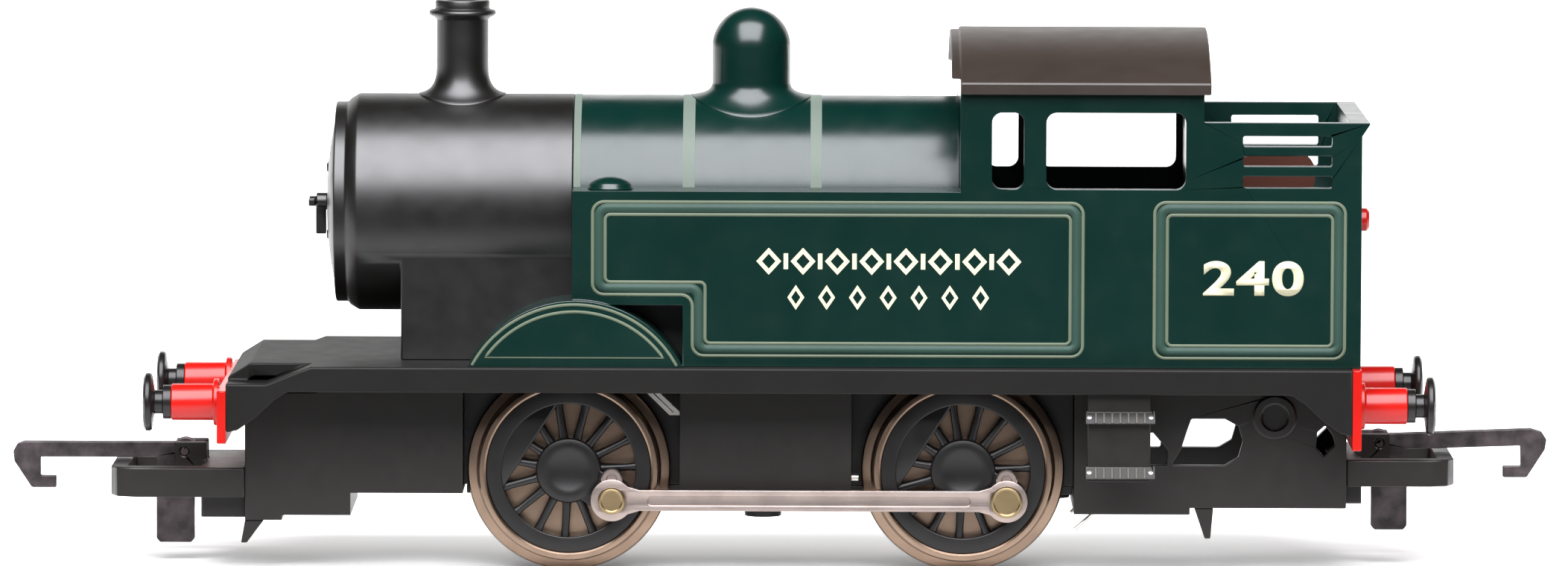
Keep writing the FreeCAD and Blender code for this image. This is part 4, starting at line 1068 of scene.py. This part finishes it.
def wheel_mesh():
    """Moulded wheel insert about the Y axis, outside at +Y, crank along +X."""
    face = WHEEL_FACE - 0.3
    back = WEB_FACE
    section = [(back, RIM_R), (back, RIM_OUTER), (face, RIM_OUTER), (face, RIM_R)]
    rim = lathe(eased(section, 0.14), "y", (0, 0, 0), 96, True)
    hub = lathe([(WHEEL_BACK + 0.1, 1.5), (WHEEL_BACK + 0.1, 2.19), (back, 2.19), (back, HUB_R),
                 (face - 0.05, HUB_R), (face + 0.12, HUB_R - 0.12), (face + 0.2, HUB_R - 0.4),
                 (face + 0.2, 1.75), (face + 0.12, 1.6), (face + 0.12, 0), (face + 0.1, 0),
                 (face + 0.1, 1.5)], "y", (0, 0, 0), 64, True)
    crank_face = WHEEL_FACE + 0.3
    boss = lathe(eased([(back, 0), (back, 1.85), (crank_face, 1.85), (crank_face, 0)], 0.12, False),
                 "y", (0, 0, 0), 48)
    web = block((2.0, 4.6), (back, WHEEL_FACE - 0.2), (-1.6, 1.6), 0.15)
    crescent = eased(arc((0, 0), RIM_R + 0.2, 131, 229, 24), 0.3)
    weight = sheet_piece([crescent], (back + 0.1, face - 0.1), 0.14)
    spokes = copies_of(ring_tree, spoke_mesh(), {
        "Count": sizes().spokes, "Radius": 0.0, "First angle": math.pi / sizes().spokes,
        "Place": (0.0, (back + 0.85) * MM, 0.0), "Turn": (math.pi / 2, 0.0, 0.0),
        "Material": finish(wheel_black)})
    crank_r = math.hypot(*crank_offset("front", "left"))
    return merged([rim, hub, moved(boss, shift(x=crank_r)), web, weight, spokes])


def crank_offset(end, side):
    """Place of a crankpin from its axle, as (x, z)."""
    pin = middle(f"{end}_crankpin_{side}")
    return pin.x - AXLES_X[end], pin.z - AXLE_Z


def at_wheel(end, side):
    """Matrix that places a wheel part modelled outside at +Y with its crank along +X."""
    x, z = crank_offset(end, side)
    turn = Matrix.Rotation(-math.atan2(z, x), 4, "Y")
    placed = shift(x=AXLES_X[end], z=AXLE_Z) @ turn
    return placed @ MIRROR if side == "left" else placed


def tyre_mesh():
    """Turned metal wheel about the Y axis: flange, tread and the web behind the insert."""
    out = WHEEL_BACK + 0.75
    profile = [(WEB_FACE, 7.35), (WEB_FACE, 2.2), (WEB_FACE - 0.45, 2.2), (WEB_FACE - 0.45, 7.35),
               (WHEEL_BACK, 7.35), (WHEEL_BACK, FLANGE_R - 0.35), (WHEEL_BACK + 0.08, FLANGE_R - 0.12),
               (WHEEL_BACK + 0.26, FLANGE_R), (out - 0.3, FLANGE_R), (out - 0.1, FLANGE_R - 0.14),
               (out + 0.02, FLANGE_R - 0.5), (out + 0.1, TREAD_R + 0.22), (out + 0.34, TREAD_R + 0.02),
               (WHEEL_FACE - 0.16, TREAD_R - 0.04), (WHEEL_FACE - 0.04, TREAD_R - 0.1),
               (WHEEL_FACE, TREAD_R - 0.22), (WHEEL_FACE, 7.5), (WHEEL_FACE - 0.12, 7.35)]
    return lathe(profile, "y", (0, 0, 0), 128, closed=True)


def pin_mesh(head_r):
    """Crankpin about the Y axis: shank and a flat head with a shallow dish."""
    base = ROD_FACE + 0.12
    profile = [(WHEEL_BACK + 0.8, 0), (WHEEL_BACK + 0.8, 0.75), (base, 0.75), (base, head_r - 0.05),
               (base + 0.06, head_r), (base + 0.4, head_r), (base + 0.52, head_r - 0.1),
               (base + 0.55, head_r - 0.22), (base + 0.46, head_r - 0.34), (base + 0.44, 0)]
    return lathe(profile, "y", (0, 0, 0), 40)


def make_wheels():
    """Wheel centres, tyres, crankpins and axles of both wheelsets."""
    centre, ring = wheel_mesh(), tyre_mesh()
    for end, head_r in (("front", 1.2), ("rear", 1.42)):
        pin = pin_mesh(head_r)
        body = f"{end}_wheelset"
        for side in SIDES:
            place = at_wheel(end, side)
            crank = shift(x=math.hypot(*crank_offset(end, side)))
            piece(f"{end}_wheel_{side}_centre", moved(centre, place), body, "wheel_plastic", wheel_black,
                  f"{end}_wheel_{side}")
            piece(f"{end}_wheel_{side}_tyre", moved(ring, place), body, "tyre_nickel", bronze_nickel,
                  f"{end}_tyre_{side}")
            piece(f"{end}_wheel_{side}_pin", moved(pin, place @ crank), body, "rod_nickel", pin_brass,
                  f"{end}_crankpin_{side}")
        bare(f"{end}_axle", plain_steel)
    bare("axle_gear", white_nylon)


def rod_outline(front_x, rear_x, z, eye, half):
    """Side rod with round eyes and small fillets where the bar meets them."""
    spread_deg = math.degrees(math.asin(half / eye)) + 12
    outline = arc((rear_x, z), eye, -(180 - spread_deg), 180 - spread_deg, 40)
    outline += [(rear_x - eye - 0.6, z + half), (front_x + eye + 0.6, z + half)]
    outline += arc((front_x, z), eye, spread_deg, 360 - spread_deg, 40)
    outline += [(front_x + eye + 0.6, z - half), (rear_x - eye - 0.6, z - half)]
    return outline


def rod_mesh(side):
    """Fluted side rod: two plates, so that the flute has a floor, with oil cups and holes for the pins."""
    pins = {end: middle(f"{end}_crankpin_{side}") for end in ENDS}
    front_x, rear_x, z = pins["front"].x, pins["rear"].x, pins["rear"].z
    outline = rod_outline(front_x, rear_x, z, ROD_EYE_R, ROD_HALF_H)
    holes = {"rear": arc((rear_x, z), 0.79, 0, 345, 23), "front": arc((front_x, z), 0.85, 0, 345, 23)}
    flute = eased(rectangle((front_x + 3.2, rear_x - 3.2), (z - 0.42, z + 0.42)), 0.4)
    split = ROD_FACE - 0.25
    back = sheet_piece([outline, holes["rear"], holes["front"]], (ROD_BACK, split + 0.02), 0.06)
    front = sheet_piece([outline, holes["rear"], holes["front"], flute], (split - 0.02, ROD_FACE), 0.07)
    top = ROD_FACE - 0.12
    cup = lathe([(ROD_BACK, 0), (ROD_BACK, 0.95), (top - 0.1, 0.95), (top, 0.85), (top, 0.5),
                 (top - 0.15, 0.42), (top - 0.15, 0)], "y", (0, 0, z + 1.85), 32)
    cups = [moved(cup, shift(x=front_x)), moved(cup, shift(x=rear_x))]
    return merged([back, front] + cups)


def make_rods():
    """A side rod on each side."""
    for side, sign in SIDES.items():
        mesh = rod_mesh(side)
        if sign < 0:
            mesh = moved(mesh, MIRROR)
        piece(f"side_rod_{side}", mesh, f"{side}_rod", "rod_nickel", rod_nickel, f"coupling_rod_{side}")


def make_drive():
    """Motor, worm, wiring and weights inside the body."""
    looks = {
        "motor_can": ("can_steel", can_steel), "motor_end_cap": ("chassis_moulding", black_nylon),
        "motor_terminals": ("brass", cut_brass), "motor_shaft": ("axle_steel", plain_steel),
        "worm": ("brass", cut_brass), "worm_bearing": ("brass", cut_brass),
        "pickup_left": ("pickup_bronze", wiper_strip), "pickup_right": ("pickup_bronze", wiper_strip),
        "wire_red": ("wire_red", red_insulation), "wire_black": ("wire_black", black_insulation),
        "suppressor": ("suppressor_ceramic", dipped_ceramic), "front_weight": ("cast_weight", cast_weight),
        "rear_weight": ("cast_weight", cast_weight),
    }
    for node, (slot, material) in looks.items():
        bare(node, material)


# ---- stage
def soft_light(name, place, size, power, colour, aim=(0.0, 0.0, 0.02)):
    """A rectangular soft light that points at the object; metres and watts."""
    data = bpy.data.lights.new(name, "AREA")
    data.shape = "RECTANGLE"
    data.size, data.size_y = size
    data.energy = power
    data.color = linear(colour)[:3]
    light = bpy.data.objects.new(name, data)
    light.location = place
    light.rotation_euler = (Vector(aim) - Vector(place)).to_track_quat("-Z", "Y").to_euler()
    bpy.context.scene.collection.objects.link(light)
    return light


def make_floor():
    """A thin, wide slab with a curved-up back edge."""
    depth, half_w = 2.6, 3.0
    profile = [(-2.0, 0.0)] + [(depth + 0.5 * math.sin(a), 0.5 - 0.5 * math.cos(a))
                               for a in [math.radians(t) for t in range(0, 91, 6)]]
    profile.append((depth + 0.5, 2.0))
    vertices = [Vector((x, y, z)) / MM for x in (-half_w, half_w) for y, z in profile]
    count = len(profile)
    faces = [(i, i + 1, i + 1 + count, i + count) for i in range(count - 1)]
    floor = temporary(smooth(mesh_of("sweep", vertices, faces)), "paper_sweep")
    floor.data.materials.append(finish(floor_paper))


def make_camera():
    """Long-lens camera, level side view from slightly above."""
    data = bpy.data.cameras.new("Camera")
    data.sensor_width = 36.0
    data.lens = 258.65
    data.shift_x = -0.0178
    data.clip_end = 20.0
    camera = bpy.data.objects.new("Camera", data)
    camera.location = (0.002533, -1.006154, 0.107756)
    camera.rotation_euler = (math.radians(90 - 4.7), math.radians(-0.2), 0.0)
    bpy.context.scene.collection.objects.link(camera)
    bpy.context.scene.camera = camera


def make_stage():
    """Camera, floor, two soft lights and a faint even sky."""
    make_camera()
    make_floor()
    soft_light("Key softbox", (-0.05, -0.66, 0.86), (1.2, 1.15), sizes().key_light, "#FAFAFF")
    over = soft_light("Floor softbox", (0.0, 1.1, 1.0), (2.6, 0.9), 20.0, "#FFFFFF", aim=(0.0, 1.11, 0.0))
    over.data.spread = math.radians(60)
    world = bpy.data.worlds.new("Studio")
    world.use_nodes = True
    world.node_tree.nodes["Background"].inputs["Color"].default_value = linear("#F4F6F8")
    world.node_tree.nodes["Background"].inputs["Strength"].default_value = 0.02
    bpy.context.scene.world = world
    bpy.context.scene.view_settings.view_transform = "Standard"


# ---- operators
class LOCO_OT_stage(bpy.types.Operator):
    """Set up the floor, the soft lights and the camera"""
    bl_idname = "loco.stage"
    bl_label = "Stage"

    def execute(self, context):
        make_stage()
        return {"FINISHED"}


class LOCO_OT_shell(bpy.types.Operator):
    """Tanks, cab and bunker in green enamel, with a red tail lamp"""
    bl_idname = "loco.shell"
    bl_label = "Body shell"

    def execute(self, context):
        dressed("body_shell", "green_shell", green_enamel, 0.06)
        dressed("bunker_lamp", "red_moulding", red_enamel, 0.06)
        return {"FINISHED"}


class LOCO_OT_roof(bpy.types.Operator):
    """Arched cab roof"""
    bl_idname = "loco.roof"
    bl_label = "Cab roof"

    def execute(self, context):
        dressed("cab_roof", "roof_moulding", roof_enamel, 0.12)
        return {"FINISHED"}


class LOCO_OT_lining(bpy.types.Operator):
    """Printed lining on the tanks, bunker and splashers"""
    bl_idname = "loco.lining"
    bl_label = "Lining"

    def execute(self, context):
        make_lining()
        make_splasher_lines()
        return {"FINISHED"}


class LOCO_OT_signs(bpy.types.Operator):
    """Generic numerals and a plain ornament"""
    bl_idname = "loco.signs"
    bl_label = "Numerals and ornament"

    def execute(self, context):
        make_numerals()
        make_ornament()
        return {"FINISHED"}


class LOCO_OT_boiler(bpy.types.Operator):
    """Boiler with its bands"""
    bl_idname = "loco.boiler"
    bl_label = "Boiler"

    def execute(self, context):
        make_boiler()
        return {"FINISHED"}


class LOCO_OT_smokebox(bpy.types.Operator):
    """Smokebox, door and fittings"""
    bl_idname = "loco.smokebox"
    bl_label = "Smokebox"

    def execute(self, context):
        make_smokebox()
        return {"FINISHED"}


class LOCO_OT_mountings(bpy.types.Operator):
    """Chimney, dome and tank fillers"""
    bl_idname = "loco.mountings"
    bl_label = "Boiler mountings"

    def execute(self, context):
        make_chimney()
        make_dome()
        make_fillers()
        return {"FINISHED"}


class LOCO_OT_footplate(bpy.types.Operator):
    """Running plate and cab steps"""
    bl_idname = "loco.footplate"
    bl_label = "Footplate"

    def execute(self, context):
        make_footplate()
        return {"FINISHED"}


class LOCO_OT_beams(bpy.types.Operator):
    """Buffer beams and buffers"""
    bl_idname = "loco.beams"
    bl_label = "Buffer beams"

    def execute(self, context):
        make_beams()
        return {"FINISHED"}


class LOCO_OT_chassis(bpy.types.Operator):
    """Chassis moulding and its fastenings"""
    bl_idname = "loco.chassis"
    bl_label = "Chassis"

    def execute(self, context):
        make_chassis()
        return {"FINISHED"}


class LOCO_OT_couplings(bpy.types.Operator):
    """Coupling loops and hooks"""
    bl_idname = "loco.couplings"
    bl_label = "Couplings"

    def execute(self, context):
        make_couplings()
        return {"FINISHED"}


class LOCO_OT_wheels(bpy.types.Operator):
    """Spoked wheels, tyres, crankpins and axles"""
    bl_idname = "loco.wheels"
    bl_label = "Wheels"

    def execute(self, context):
        make_wheels()
        return {"FINISHED"}


class LOCO_OT_rods(bpy.types.Operator):
    """Side rods"""
    bl_idname = "loco.rods"
    bl_label = "Side rods"

    def execute(self, context):
        make_rods()
        return {"FINISHED"}


class LOCO_OT_drive(bpy.types.Operator):
    """Motor, gears, wiring and weights"""
    bl_idname = "loco.drive"
    bl_label = "Drive and wiring"

    def execute(self, context):
        make_drive()
        return {"FINISHED"}


OPERATORS = (LOCO_OT_stage, LOCO_OT_shell, LOCO_OT_roof, LOCO_OT_lining, LOCO_OT_signs, LOCO_OT_boiler,
             LOCO_OT_smokebox, LOCO_OT_mountings, LOCO_OT_footplate, LOCO_OT_beams, LOCO_OT_chassis,
             LOCO_OT_couplings, LOCO_OT_wheels, LOCO_OT_rods, LOCO_OT_drive)


class LOCO_PT_panel(bpy.types.Panel):
    """Sidebar panel with the settings and one button for each group of pieces"""
    bl_idname = "LOCO_PT_panel"
    bl_label = "Locomotive"
    bl_space_type = "VIEW_3D"
    bl_region_type = "UI"
    bl_category = "Locomotive"

    def draw(self, context):
        for settings in (context.scene.loco_paint, context.scene.loco_sizes):
            box = self.layout.box()
            for name in settings.__annotations__:
                box.prop(settings, name)
        for operator in OPERATORS:
            self.layout.operator(operator.bl_idname)


CLASSES = (LOCO_PG_paint, LOCO_PG_sizes, *OPERATORS, LOCO_PT_panel)


def register():
    for cls in CLASSES:
        bpy.utils.register_class(cls)
    bpy.types.Scene.loco_paint = bpy.props.PointerProperty(type=LOCO_PG_paint)
    bpy.types.Scene.loco_sizes = bpy.props.PointerProperty(type=LOCO_PG_sizes)


def unregister():
    del bpy.types.Scene.loco_paint
    del bpy.types.Scene.loco_sizes
    for cls in reversed(CLASSES):
        bpy.utils.unregister_class(cls)


def main():
    register()
    for operator in OPERATORS:
        group, name = operator.bl_idname.split(".")
        getattr(getattr(bpy.ops, group), name)()


if __name__ == "__main__":
    main()
